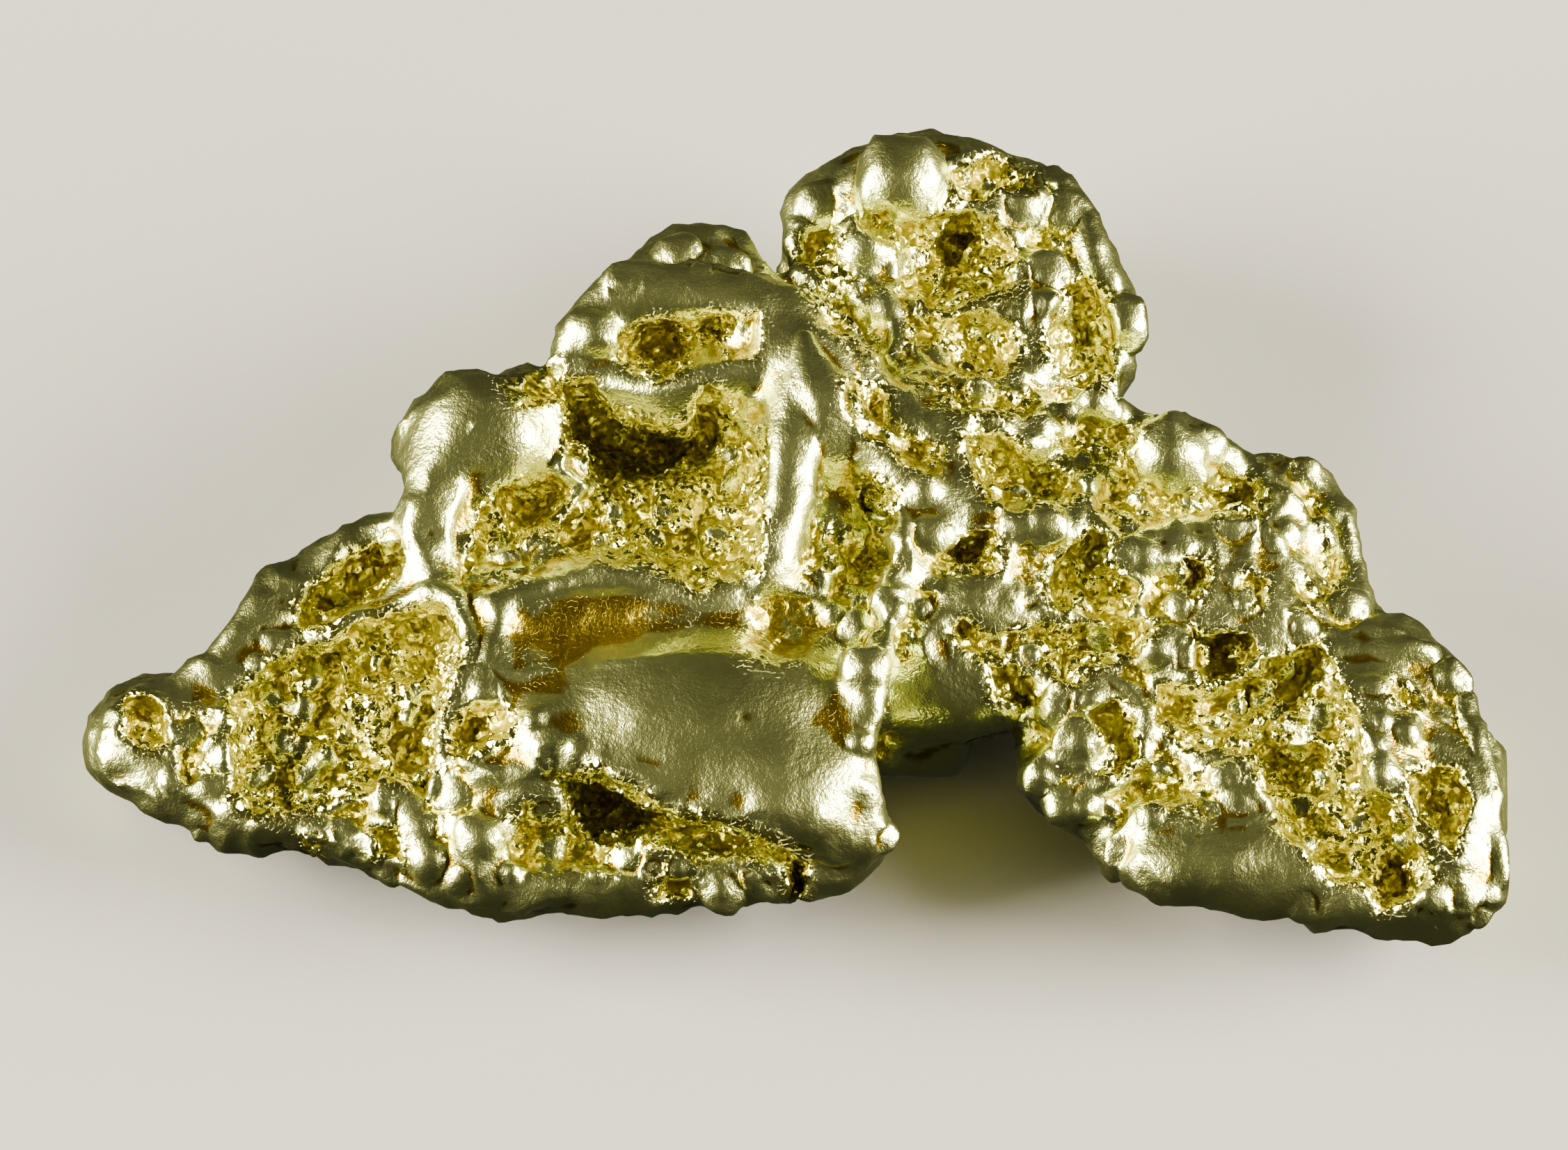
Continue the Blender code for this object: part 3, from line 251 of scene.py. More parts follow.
# Worn ridges that lie on the skin. Each point: across, up, half width, in mm.
strokes = [
    [(-4.8, -0.9, 0.1), (-4.78, -1.2, 0.11), (-4.7, -1.48, 0.1)],
    [(-4.9, -0.62, 0.07), (-4.4, -0.4, 0.09), (-3.85, -0.2, 0.12), (-3.55, -0.38, 0.12),
     (-3.4, -0.75, 0.11), (-3.52, -1.2, 0.11), (-3.73, -1.5, 0.09), (-3.72, -2.0, 0.08)],
    [(-6.02, -2.38, 0.1), (-5.5, -2.48, 0.12), (-5.0, -2.5, 0.12), (-4.6, -2.34, 0.11)],
    [(-2.62, -2.0, 0.07), (-2.3, -2.12, 0.08), (-2.05, -2.04, 0.08), (-1.7, -2.23, 0.08),
     (-1.3, -2.43, 0.08), (-0.8, -2.48, 0.08), (-0.2, -2.68, 0.08), (0.15, -2.92, 0.08),
     (0.42, -2.97, 0.07)],
    [(-2.2, 2.02, 0.06), (-1.92, 1.78, 0.07), (-1.52, 1.58, 0.07), (-1.12, 1.52, 0.06)],
    [(0.08, 2.45, 0.1), (0.18, 2.1, 0.28), (0.33, 1.6, 0.5), (0.37, 0.9, 0.6), (0.35, 0.3, 0.5),
     (0.28, -0.06, 0.2)],
    [(2.71, -1.0, 0.08), (3.05, -0.98, 0.09), (3.32, -1.06, 0.1), (3.6, -1.28, 0.1), (3.72, -1.58, 0.1),
     (3.68, -1.95, 0.1), (3.45, -2.2, 0.09), (3.15, -2.26, 0.08)],
    [(0.7, 3.68, 0.05), (0.86, 3.83, 0.06), (1.02, 3.94, 0.06), (1.18, 3.86, 0.06), (1.42, 3.8, 0.06),
     (1.58, 3.87, 0.05)],
    [(0.95, 2.9, 0.08), (1.1, 2.5, 0.09), (1.08, 2.1, 0.09), (1.5, 1.56, 0.09), (2.2, 1.58, 0.09),
     (2.7, 1.5, 0.08)],
    [(5.6, -0.86, 0.12), (6.1, -0.84, 0.15), (6.65, -0.9, 0.15)],
    [(7.0, -1.4, 0.12), (7.18, -2.0, 0.13), (7.32, -2.6, 0.13), (7.36, -3.2, 0.13)],
    [(-6.55, -2.2, 0.13), (-6.05, -2.48, 0.17), (-5.5, -2.66, 0.19), (-5.0, -2.76, 0.19),
     (-4.5, -2.86, 0.19), (-4.1, -2.98, 0.16)],
    [(2.7, 4.22, 0.14), (2.94, 3.85, 0.17), (3.12, 3.42, 0.18), (3.32, 3.08, 0.16)],
    [(-7.25, -1.5, 0.08), (-7.3, -1.75, 0.09), (-7.1, -2.05, 0.09)],
    [(2.06, 0.38, 0.05), (2.2, 0.15, 0.06), (2.2, -0.05, 0.06), (2.02, -0.2, 0.05)],
    [(0.55, 0.88, 0.05), (1.15, 0.72, 0.06), (1.14, 0.3, 0.06), (1.0, -0.1, 0.05)],
]

# Pits where the metal was never worn: depth in mm, how wide the wall is as seen, then the outline as seen.
pits = {
    "tipPit": (0.3, 0.06, [(-7.12, -1.42), (-6.95, -1.33), (-6.68, -1.4), (-6.55, -1.6), (-6.62, -1.85),
        (-6.88, -1.95), (-7.08, -1.75)]),
    "armBasin": (0.5, 0.06, [(-6.05, -1.32), (-5.75, -1.15), (-5.55, -0.95), (-5.25, -0.75),
        (-4.95, -0.8), (-4.75, -0.62), (-4.35, -0.45), (-3.95, -0.38), (-3.68, -0.42), (-3.5, -0.65),
        (-3.42, -0.95), (-3.65, -1.25), (-3.76, -1.6), (-3.78, -1.95), (-3.9, -2.45), (-4.1, -2.3),
        (-4.35, -2.15), (-4.6, -2.35), (-4.95, -2.45), (-5.35, -2.6), (-5.75, -2.58), (-6, -2.35),
        (-6.02, -1.95), (-5.95, -1.6)]),
    "armTipGravel": (0.22, 0.22, [(-6.58, -1.48), (-6.2, -1.38), (-6.05, -1.6), (-6.1, -2.15),
        (-6.42, -2.25), (-6.5, -1.85)]),
    "armChute": (0.42, 0.06, [(-4.38, -1.8), (-4.1, -1.62), (-3.95, -1.28), (-3.76, -1.28),
        (-3.8, -1.95), (-3.9, -2.46), (-4.1, -2.22), (-4.3, -2)]),
    "backPocket": (0.3, 0.06, [(-5.3, -0.35), (-5.12, -0.08), (-4.85, 0.05), (-4.6, 0.3), (-4.2, 0.35),
        (-4.12, 0.15), (-4.38, -0.22), (-4.7, -0.35), (-4.95, -0.55), (-5.2, -0.55)]),
    "rimHole": (0.45, 0.06, [(-4.47, -2.76), (-4.14, -2.62), (-4.16, -2.99), (-4.45, -3)]),
    "rimNick": (0.35, 0.06, [(-5.24, -2.78), (-5, -2.8), (-5.06, -3.02), (-5.2, -3)]),
    "knobHollow": (0.34, 0.06, [(-3.5, 0.25), (-3.3, 0.62), (-3.1, 0.88), (-2.7, 0.98), (-2.35, 0.88),
        (-2.45, 0.62), (-2.75, 0.4), (-3.05, 0.22), (-3.35, 0.12)]),
    "knobGravel": (0.12, 0.22, [(-3.68, 0.02), (-3.5, 0.2), (-3, 0.25), (-2.6, 0.4), (-2.75, 0.02),
        (-3.2, -0.15), (-3.55, -0.2)]),
    "knobBridge": (0.18, 0.06, [(-3.15, 2.02), (-2.8, 2.05), (-2.5, 2.18), (-2.48, 1.85), (-2.9, 1.8)]),
    "crater": (0.38, 0.06, [(-1.92, 2.48), (-1.62, 2.6), (-1.1, 2.64), (-0.85, 2.76), (-0.45, 2.72),
        (-0.36, 2.5), (-0.45, 2.3), (-0.72, 2.26), (-1, 2.44), (-1.12, 2.18), (-1.25, 2.04),
        (-1.55, 2.05), (-1.82, 2.15)]),
    "greatPit": (0.42, 0.06, [(-2.46, 2), (-2.22, 2.02), (-2.08, 1.84), (-1.6, 1.6), (-1.22, 1.5),
        (-1.12, 1.62), (-0.9, 2), (-0.72, 1.82), (-0.35, 1.4), (-0.32, 0.9), (-0.34, 0.02),
        (-0.75, -0.02), (-1.1, -0.22), (-1.4, 0.02), (-1.65, 0.14), (-2.2, 0.12), (-2.6, 0.3),
        (-2.45, 0.65), (-2.22, 0.9), (-2.46, 1.15)]),
    "greatPitDeep": (0.65, 0.06, [(-2.42, 1.85), (-2.2, 1.96), (-2.05, 1.8), (-1.6, 1.57), (-1.2, 1.48),
        (-0.95, 1.85), (-0.62, 1.58), (-0.98, 1.22), (-1.38, 1), (-1.7, 0.88), (-2, 1.02), (-2.4, 1.28)]),
    "greatPitHole": (0.32, 0.06, [(-1.4, 0.44), (-1.02, 0.42), (-1.1, 0.06), (-1.3, 0.06)]),
    "ridgeSlot": (0.17, 0.06, [(0.48, 2.06), (0.92, 1.98), (1.02, 1.65), (1.3, 1.38), (1.54, 1.26),
        (1.42, 1.06), (1.18, 1.13), (0.88, 1.4), (0.52, 1.72)]),
    "fencePit": (0.38, 0.06, [(0.55, 0.84), (0.8, 1), (1.06, 0.86), (1.08, 0.62), (0.74, 0.66)]),
    "fenceGravel": (0.16, 0.22, [(0.12, 0.05), (0.32, 0.5), (0.72, 0.46), (0.98, 0.25), (1.02, 0.02),
        (0.5, -0.04)]),
    "headPit": (0.3, 0.06, [(1.4, 3.74), (1.62, 3.84), (2.05, 3.72), (2.3, 3.4), (2.4, 2.95),
        (1.9, 2.82), (1.55, 2.78), (1.16, 2.98), (1.08, 3.3), (1.22, 3.6)]),
    "headPitDeep": (0.4, 0.06, [(1.48, 3.72), (2.08, 3.68), (1.82, 3.4), (1.78, 2.92), (1.52, 2.9)]),
    "headGravelLeft": (0.24, 0.22, [(0, 3.32), (0.1, 3.62), (0.42, 3.82), (0.6, 3.62), (0.42, 3.36),
        (0.58, 3.16), (1, 3.04), (0.76, 2.94), (0.3, 3.04)]),
    "headBallFoot": (0.3, 0.06, [(0.66, 3.7), (0.84, 3.86), (1.02, 3.94), (1.25, 3.83), (1.52, 3.82),
        (1.34, 3.56), (0.92, 3.56)]),
    "headGravelLow": (0.3, 0.22, [(1.16, 2.78), (1.6, 2.72), (2.18, 2.8), (2.44, 2.6), (2.5, 2.28),
        (2.1, 2.04), (1.62, 2.12), (1.32, 2.36), (1.18, 2.24)]),
    "headTopPit": (0.24, 0.06, [(1.68, 4.3), (2.2, 4.4), (2.56, 4.26), (2.52, 4.08), (2.12, 4.04),
        (1.98, 3.86), (1.74, 3.92)]),
    "headSidePit": (0.34, 0.06, [(2.82, 3), (3.04, 3.16), (3.3, 2.96), (3.38, 2.62), (3.34, 2),
        (3.04, 2.02), (2.66, 2.2), (2.62, 2.46)]),
    "headSideDeep": (0.34, 0.06, [(2.92, 2.9), (3.12, 2.88), (3.22, 2.12), (2.88, 2.12)]),
    "seamGravel": (0.18, 0.22, [(0.08, 3.04), (0.36, 3.04), (0.7, 2.7), (0.98, 2.36), (0.86, 2.14),
        (0.52, 2.42), (0.22, 2.62)]),
    "shelfGravel": (0.22, 0.22, [(1.22, 2.12), (1.45, 1.78), (1.78, 1.64), (2.42, 1.6), (2.64, 1.72),
        (2.54, 1.92), (2, 1.99), (1.58, 2.06)]),
    "amberPit": (0.42, 0.06, [(1.7, 1.36), (1.88, 1.47), (2.34, 1.4), (2.55, 1.12), (2.98, 1.06),
        (3, 0.78), (2.82, 0.62), (2.36, 0.7), (2.05, 0.72), (1.94, 0.92)]),
    "wingGravel": (0.2, 0.22, [(2.62, 1.38), (3.1, 1.42), (3.45, 1.62), (3.7, 1.54), (3.58, 1.15),
        (3.64, 0.85), (3.86, 0.6), (3.4, 0.42), (3.14, 0.62), (3.04, 1.04)]),
    "shoulderPit": (0.32, 0.06, [(4.18, 0.88), (4.5, 0.93), (4.92, 0.96), (5, 0.66), (4.74, 0.52),
        (4.38, 0.58)]),
    "edgeGravel": (0.16, 0.22, [(5, 1.18), (5.28, 1.24), (5.52, 0.95), (5.74, 0.55), (5.8, 0),
        (5.78, -0.35), (5.45, -0.48), (5.18, -0.2), (5.36, 0.1), (5.42, 0.5), (5.3, 0.84)]),
    "wingPit": (0.45, 0.06, [(2.68, 0.06), (2.94, 0.32), (3.12, 0.46), (3.3, 0.38), (3.34, 0.05),
        (3.54, -0.14), (3.48, -0.46), (3.08, -0.5), (2.74, -0.44), (2.62, -0.2)]),
    "wingHole": (0.55, 0.06, [(4.04, 0.16), (4.34, 0.1), (4.33, -0.26), (4.2, -0.34), (4.05, -0.2)]),
    "wingLowGravel": (0.28, 0.22, [(2.5, -0.52), (3.1, -0.54), (3.88, -0.5), (3.64, -0.75),
        (3.48, -0.96), (2.9, -1.16), (2.6, -0.96), (2.36, -0.74)]),
    "wingDeepPit": (0.62, 0.06, [(4.12, -0.55), (4.45, -0.6), (4.76, -0.62), (4.86, -0.8), (4.62, -1.1),
        (4.34, -1.24), (4.18, -0.95)]),
    "wingCup": (0.18, 0.06, [(4.6, -0.1), (4.78, 0.03), (4.97, -0.1), (4.92, -0.42), (4.68, -0.38)]),
    "dish": (0.24, 0.06, [(1.58, 0.25), (1.8, 0.41), (2.12, 0.36), (2.18, 0.05), (1.85, 0), (1.6, 0.08)]),
    "neckPit": (0.22, 0.06, [(1.6, -0.6), (1.76, -0.45), (2, -0.68), (2.44, -0.62), (2.28, -0.86),
        (2, -0.96), (1.74, -0.8)]),
    "neckCup": (0.28, 0.06, [(2.08, -1), (2.32, -1), (2.5, -1.2), (2.6, -1.42), (2.35, -1.48),
        (2.14, -1.32)]),
    "ringCup": (0.32, 0.06, [(3.04, -1.4), (3.3, -1.37), (3.54, -1.52), (3.64, -1.84), (3.46, -2.14),
        (3.14, -2.14), (3.32, -1.84), (3.16, -1.62)]),
    "rightBasin": (0.42, 0.06, [(3.84, -1.15), (4.3, -1.25), (4.66, -1.12), (5.1, -0.85), (5.44, -0.76),
        (5.62, -1), (5.9, -1.45), (6, -1.75), (6.05, -2.3), (6.42, -2.4), (6.58, -2.78), (6.7, -3.2),
        (6.42, -3.48), (6.15, -3.58), (6.05, -3.3), (5.62, -3.22), (5.3, -2.92), (5.06, -2.58),
        (4.88, -2.24), (4.76, -1.95), (4.3, -1.86), (3.95, -1.8), (3.8, -1.5)]),
    "basinDeepHigh": (0.28, 0.06, [(4.66, -1.34), (4.92, -1.18), (4.94, -1.5), (4.74, -1.62)]),
    "basinDeepMiddle": (0.26, 0.06, [(5.04, -1.84), (5.6, -1.8), (5.76, -2.1), (5.62, -2.5),
        (5.28, -2.46), (5.08, -2.16)]),
    "basinDeepLow": (0.36, 0.06, [(6.08, -3.08), (6.36, -2.98), (6.46, -3.36), (6.2, -3.54)]),
    "endDimple": (0.28, 0.06, [(6.16, -1.32), (6.34, -1.17), (6.58, -1.26), (6.52, -1.5), (6.34, -1.48)]),
    "endPit": (0.55, 0.06, [(6.48, -2.14), (6.7, -1.98), (6.98, -2.05), (7.05, -2.35), (6.96, -2.76),
        (6.8, -2.92), (6.58, -2.66)]),
    "footGravel": (0.16, 0.22, [(3.68, -2.15), (3.9, -2), (4.36, -2.04), (4.56, -2.44), (4.25, -2.6),
        (3.74, -2.54)]),
    "slabGravelRight": (0.12, 0.22, [(-0.6, -0.55), (-0.45, -0.25), (0, -0.15), (0.36, -0.34),
        (0.46, -0.6), (0.24, -0.85), (-0.2, -1.04), (-0.5, -0.95)]),
    "slabDimple": (0.3, 0.06, [(-3.64, -1.62), (-3.4, -1.4), (-3.1, -1.34), (-2.94, -1.55),
        (-3.05, -1.8), (-3.4, -1.94), (-3.64, -1.94)]),
    "ledge": (0.72, 0.06, [(-2.58, -2.08), (-2.05, -2.12), (-1.7, -2.32), (-1.3, -2.52), (-0.8, -2.57),
        (-0.45, -2.65), (-0.15, -2.8), (0.12, -3.02), (0.1, -3.46), (-0.1, -3.46), (-0.12, -3.1),
        (-0.45, -3.0), (-1.05, -3.04), (-1.3, -2.94), (-2, -2.8), (-2.34, -2.68), (-2.42, -2.34)]),
    "frontGravel": (0.18, 0.22, [(-3.15, -2.55), (-2.75, -2.4), (-2.35, -2.62), (-2.05, -2.76),
        (-1.6, -2.82), (-1.55, -3.06), (-2, -3.15), (-2.6, -3.15), (-3, -3.1)]),
    "frontSlot": (0.4, 0.06, [(-1.47, -3.2), (-1.13, -3.18), (-1.12, -3.44), (-1.44, -3.42)]),
}


def startSkin():
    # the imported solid, its facets rounded off into one fine skin
    bm = bmesh.new()
    bm.from_mesh(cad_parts["nugget"].data)
    bmesh.ops.scale(bm, vec=(1 / mm,) * 3, verts=bm.verts)
    bmesh.ops.remove_doubles(bm, verts=bm.verts, dist=skin["merge"])
    bmesh.ops.recalc_face_normals(bm, faces=bm.faces)
    made = objectFrom(bm, "nugget_skin")
    modify(made, "SUBSURF", levels=2, render_levels=2)
    modify(made, "DISPLACE", strength=skin["swell"], mid_level=0.0)
    modify(made, "REMESH", mode="VOXEL", voxel_size=skin["voxel"])
    modify(made, "SMOOTH", factor=0.5, iterations=skin["soften"][0])
    bake(made)
    return made


def onSkin(tree, across, up):
    # where the line of sight at that place meets the skin, and how squarely it does
    start = Vector((across, 0, 0)) + upView * up + listShift
    spot, normal = tree.ray_cast(start + toEye * (farOff - start @ toEye), -toEye)[:2]
    return spot, normal @ toEye if spot else 0.0


def addBall(bm, middle, half, fineness):
    bmesh.ops.create_icosphere(bm, subdivisions=fineness, radius=half, matrix=Matrix.Translation(middle))


def addStroke(bm, tree, points):
    # a tube with round ends along a smooth line, partly sunk in the skin
    spots = []
    for across, up, half in points:
        spot = onSkin(tree, across, up)[0]
        if spot:
            rise = min(half * (1 - skin["sunk"]), skin["ridgeRise"])
            spots.append((spot + toEye * (rise - half), half))
    line = bpy.data.curves.new("stroke", "CURVE")
    line.dimensions = "3D"
    line.bevel_depth = 1.0
    line.bevel_resolution = 3
    line.use_fill_caps = True
    spline = line.splines.new("NURBS")
    spline.points.add(len(spots) - 1)
    spline.order_u = 3
    spline.use_endpoint_u = True
    spline.resolution_u = 8
    for point, (spot, half) in zip(spline.points, spots):
        point.co = (*spot, 1.0)
        point.radius = half
    tube = bpy.data.objects.new("stroke", line)
    bpy.context.scene.collection.objects.link(tube)
    bpy.context.view_layer.update()
    graph = bpy.context.evaluated_depsgraph_get()
    mesh = bpy.data.meshes.new_from_object(tube.evaluated_get(graph))
    bm.from_mesh(mesh)
    bpy.data.objects.remove(tube)
    bpy.data.meshes.remove(mesh)
    for spot, half in (spots[0], spots[-1]):
        addBall(bm, spot, half, 2)


def clearOf(places):
    # how far each place, as seen, is from the nearest ridge
    apart = np.full(len(places), np.inf)
    for points in strokes:
        for start, end in zip(points, points[1:]):
            for share in np.linspace(0, 1, strewn["along"]):
                spot = np.array(start[:2]) * (1 - share) + np.array(end[:2]) * share
                apart = np.minimum(apart, np.hypot(*(places - spot).T))
    return apart


def strewBeads(bm, tree):
    pick = random.Random(strewn["seed"])
    (left, low), (right, high) = strewn["area"]
    places = []
    step = strewn["apart"]
    for row in range(int((high - low) / step)):
        for column in range(int((right - left) / step)):
            places.append((left + (column + pick.random()) * step, low + (row + pick.random()) * step))
    places = np.array(places)
    calm = smoothShare(places)
    pit = np.zeros(len(places), dtype=bool)
    for depth, wall, outline in pits.values():
        inside = distanceInside(places, outline) > 0
        pit |= inside
        if depth > strewn["deepest"]:
            calm[inside] = 1
    clear = clearOf(places) > strewn["clear"]
    for (across, up), still, sunk, free in zip(places, calm, pit, clear):
        half = pick.uniform(*strewn["halfInPit" if sunk else "half"])
        lift = half * pick.uniform(*strewn["lift"])
        spot, facing = onSkin(tree, across, up)
        thick = noise.noise(Vector((across, up, 0)) / strewn["cluster"]) > strewn["bare"]
        if spot and free and facing > strewn["facing"] and still < strewn["calm"] and (thick or sunk):
            addBall(bm, spot + toEye * lift, half, 2)
            caps.append((across, up, half))


def addBeads(made):
    # beads and ridges, made apart and then fused with the skin
    tree = treeOf(made)
    bm = bmesh.new()
    for across, up, half, lift in beads:
        spot = onSkin(tree, across, up)[0]
        if spot:
            addBall(bm, spot + toEye * lift, half, 3)
            caps.append((across, up, half))
    strewBeads(bm, tree)
    for points in strokes:
        addStroke(bm, tree, points)
    bm.from_mesh(made.data)
    made.data = bpy.data.meshes.new("nugget_skin")
    bm.to_mesh(made.data)
    bm.free()
    modify(made, "REMESH", mode="VOXEL", voxel_size=skin["voxel"])
    modify(made, "SMOOTH", factor=0.5, iterations=skin["soften"][1])
    bake(made)


def distanceInside(points, outline, beyond=0.3):
    # above zero inside the outline, below zero outside it, and -beyond where it is far off
    starts = np.array(outline)
    close = (points > starts.min(axis=0) - beyond) & (points < starts.max(axis=0) + beyond)
    near = np.flatnonzero(close.all(axis=1))
    spots = points[near]
    nearest = np.full(len(near), beyond)
    inside = np.zeros(len(near), dtype=bool)
    for start, end in zip(starts, np.roll(starts, -1, axis=0)):
        side = end - start
        along = np.clip((spots - start) @ side / (side @ side), 0, 1)
        nearest = np.minimum(nearest, np.hypot(*(spots - start - along[:, None] * side).T))
        crosses = (start[1] > spots[:, 1]) != (end[1] > spots[:, 1])
        level = (spots[:, 1] - start[1]) / (side[1] if side[1] else 1.0)
        inside ^= crosses & (spots[:, 0] < start[0] + level * side[0])
    found = np.full(len(points), -beyond)
    found[near] = np.where(inside, nearest, -nearest)
    return found


def wandering(places):
    # places as seen, moved a little, so that the edges of pits are ragged
    drift = np.zeros((len(places), 2))
    for size, reach in skin["ragged"]:
        for at, place in enumerate(map(Vector, places / size)):
            drift[at] += reach * noise.noise(place), reach * noise.noise(place + unlike)
    return asSeen(places) + drift


def shownTo(made, places, normals):
    # whether each vertex is seen from the showing side
    tree = treeOf(made)
    seen = normals @ np.array(toEye) > 0
    for at in np.flatnonzero(seen):
        start = Vector(places[at] + normals[at] * skin["voxel"])
        if tree.ray_cast(start, toEye)[0]:
            seen[at] = False
    return seen


def sinkPits(made):
    # sinks every pit along the line of sight, and raises a thin lip round the crisp ones
    places, normals = rowsOf(made, "co"), rowsOf(made, "normal")
    points = wandering(places)
    seen = shownTo(made, places, normals)
    sunk = np.zeros(len(places))
    lip = np.zeros(len(places))
    for depth, wall, outline in pits.values():
        reach = distanceInside(points, outline)
        sunk += easeIn(reach / wall) * depth * skin["deeper"]
        if wall < skin["lipWidth"]:
            ring = np.exp(-((reach + skin["lipWidth"] / 2) / (skin["lipWidth"] / 2)) ** 2)
            lip = np.maximum(lip, np.where(reach < 0, ring, -1))
        lip = np.where(reach > 0, 0, lip)
    places += np.where(seen, lip * skin["lipHeight"] - sunk, 0)[:, None] * np.array(toEye)
    moveTo(made, places)
    modify(made, "REMESH", mode="VOXEL", voxel_size=skin["voxel"])
    modify(made, "SMOOTH", factor=0.5, iterations=skin["soften"][2])
    bake(made)


def pitShare(places, seen, edge=0.0):
    # how much of a pit each vertex is, from 0 to 1
    # given an edge it fades out over at least that, but keeps a thin rim round a crisp pit
    points = wandering(places)
    share = np.zeros(len(places))
    for depth, wall, outline in pits.values():
        full = easeIn(depth / skin["fullPit"])
        reach = distanceInside(points, outline)
        share = np.maximum(share, full * easeIn(reach / max(wall, edge) + 0.5))
        if edge and wall < skin["lipWidth"]:
            share = np.maximum(share, np.exp(-(reach / skin["rimWidth"]) ** 2))
    return np.where(seen, share * (1 - capShare(points)), 0)


def capShare(points):
    # how much each place, as seen, belongs to the worn top of a bead
    share = np.zeros(len(points))
    order = np.argsort(points[:, 0])
    inOrder = points[order]
    for across, up, half in caps:
        first, last = np.searchsorted(inOrder[:, 0], (across - half, across + half))
        near = order[first:last]
        apart = np.hypot(*(points[near] - (across, up)).T) / half
        share[near] = np.maximum(share[near], easeIn((skin["capReach"] - apart) / skin["capEdge"]))
    return share


def smoothShare(points):
    # how smooth wear left the metal at points as seen
    share = np.zeros(len(points))
    for strength, outline in smoothParts:
        fade = distanceInside(points, outline) / skin["smoothEdge"] + 0.5
        share = np.maximum(share, strength * easeIn(fade))
    return share


def humps(made, rounds):
    # how far each vertex stands out of the skin once that is smoothed
    copy = bpy.data.objects.new("smoothed", made.data.copy())
    bpy.context.scene.collection.objects.link(copy)
    modify(copy, "SMOOTH", factor=1.0, iterations=rounds)
    bake(copy)
    apart = ((rowsOf(made, "co") - rowsOf(copy, "co")) * rowsOf(made, "normal")).sum(axis=1)
    bpy.data.objects.remove(copy)
    return apart


def ballRelief(place):
    # small fused balls of three sizes
    low, high = skin["ballWidth"]
    total = 0.0
    for size, rise in skin["balls"]:
        width = low + (high - low) * (0.5 + noise.noise(place / size / 2))
        apart = noise.voronoi(place / size)[0][0] / width
        total += rise * (max(1 - apart * apart, 0.0) ** 0.5 - 0.5)
    return total


def lumpRelief(place):
    # worn lumps, their tops rounder than their roots
    return sum(rise * (skin["lumpTop"] - skin["lumpFall"] * abs(noise.noise(place / size)))
               for size, rise in skin["lumps"])


def roughen(made):
    # grains in the pits and hollows, and worn lumps and a few dents between them
    places, normals = rowsOf(made, "co"), rowsOf(made, "normal")
    seen = shownTo(made, places, normals)
    pit = pitShare(places, seen)
    cap = np.where(seen, capShare(asSeen(places)), 0)
    smooth = np.where(seen, smoothShare(asSeen(places)), 0)
    hollow = easeIn(-humps(made, skin["hollowRounds"]) / skin["hollowDepth"]) * (1 - smooth)
    rough = np.maximum(pit, hollow) * (1 - cap)
    lively = 1 - np.maximum(smooth, cap * skin["capCalm"])
    apart, half, depth = skin["dents"]
    moves = np.zeros(len(places))
    for at, share in enumerate(rough):
        place = Vector(places[at])
        if share > skin["barely"]:
            moves[at] = share * ballRelief(place)
        if share < 1 - skin["barely"]:
            dent = max(1 - noise.voronoi(place / apart)[0][0] * apart / half, 0.0)
            moves[at] += (1 - share) * (lumpRelief(place) * lively[at] - depth * dent * dent)
    moveTo(made, places + normals * moves[:, None])


def thinOut(made):
    made.data.calc_loop_triangles()
    modify(made, "DECIMATE", ratio=min(1.0, skin["faces"] / len(made.data.loop_triangles)))
    bake(made)


def dropCrumbs(made):
    # leaves only the largest connected piece
    bm = bmesh.new()
    bm.from_mesh(made.data)
    left, largest = set(bm.verts), set()
    while left:
        group = {left.pop()}
        edge = list(group)
        while edge:
            vert = edge.pop()
            found = {link.other_vert(vert) for link in vert.link_edges} & left
            left -= found
            group |= found
            edge += found
        largest = max(largest, group, key=len)
    bmesh.ops.delete(bm, geom=[vert for vert in bm.verts if vert not in largest], context="VERTS")
    bm.to_mesh(made.data)
    bm.free()


def finishSkin(made):
    # keeps the skin in the solid's box, and notes for the material what is pit and what is worn; where it
    # is least worn, in the creases, the material paints shade
    low, high = (np.array(corner) / mm for corner in cadBox)
    moveTo(made, np.clip(rowsOf(made, "co"), low + skin["slack"], high - skin["slack"]))
    places, normals = rowsOf(made, "co"), rowsOf(made, "normal")
    seen = shownTo(made, places, normals)
    pit = pitShare(places, seen, skin["tintEdge"])
    # 'worn' also marks the creases, which the material paints darker as painted shade
    worn = easeIn(0.5 + humps(made, skin["wearRounds"]) / skin["wornHump"])
    # hollows take the pits' colour, darkest in their creases as painted shade
    hollow = easeIn(-humps(made, skin["tintRounds"]) / skin["hollowDepth"])
    hollow *= np.where(seen, 1 - smoothShare(asSeen(places)), 1)
    for name, values in (("pit", np.maximum(pit, hollow)), ("worn", worn)):
        noted = made.data.attributes.new(name, "FLOAT", "POINT")
        noted.data.foreach_set("value", values.astype(np.float32))
    made.data.transform(Matrix.Scale(mm, 4))
    made.data.shade_smooth()


nugget = startSkin()
print("skin", len(nugget.data.vertices))
addBeads(nugget)
print("beads and ridges", len(nugget.data.vertices))
sinkPits(nugget)
print("pits", len(nugget.data.vertices))
roughen(nugget)
print("grain")
thinOut(nugget)
dropCrumbs(nugget)
finishSkin(nugget)
print("finished skin", len(nugget.data.polygons))
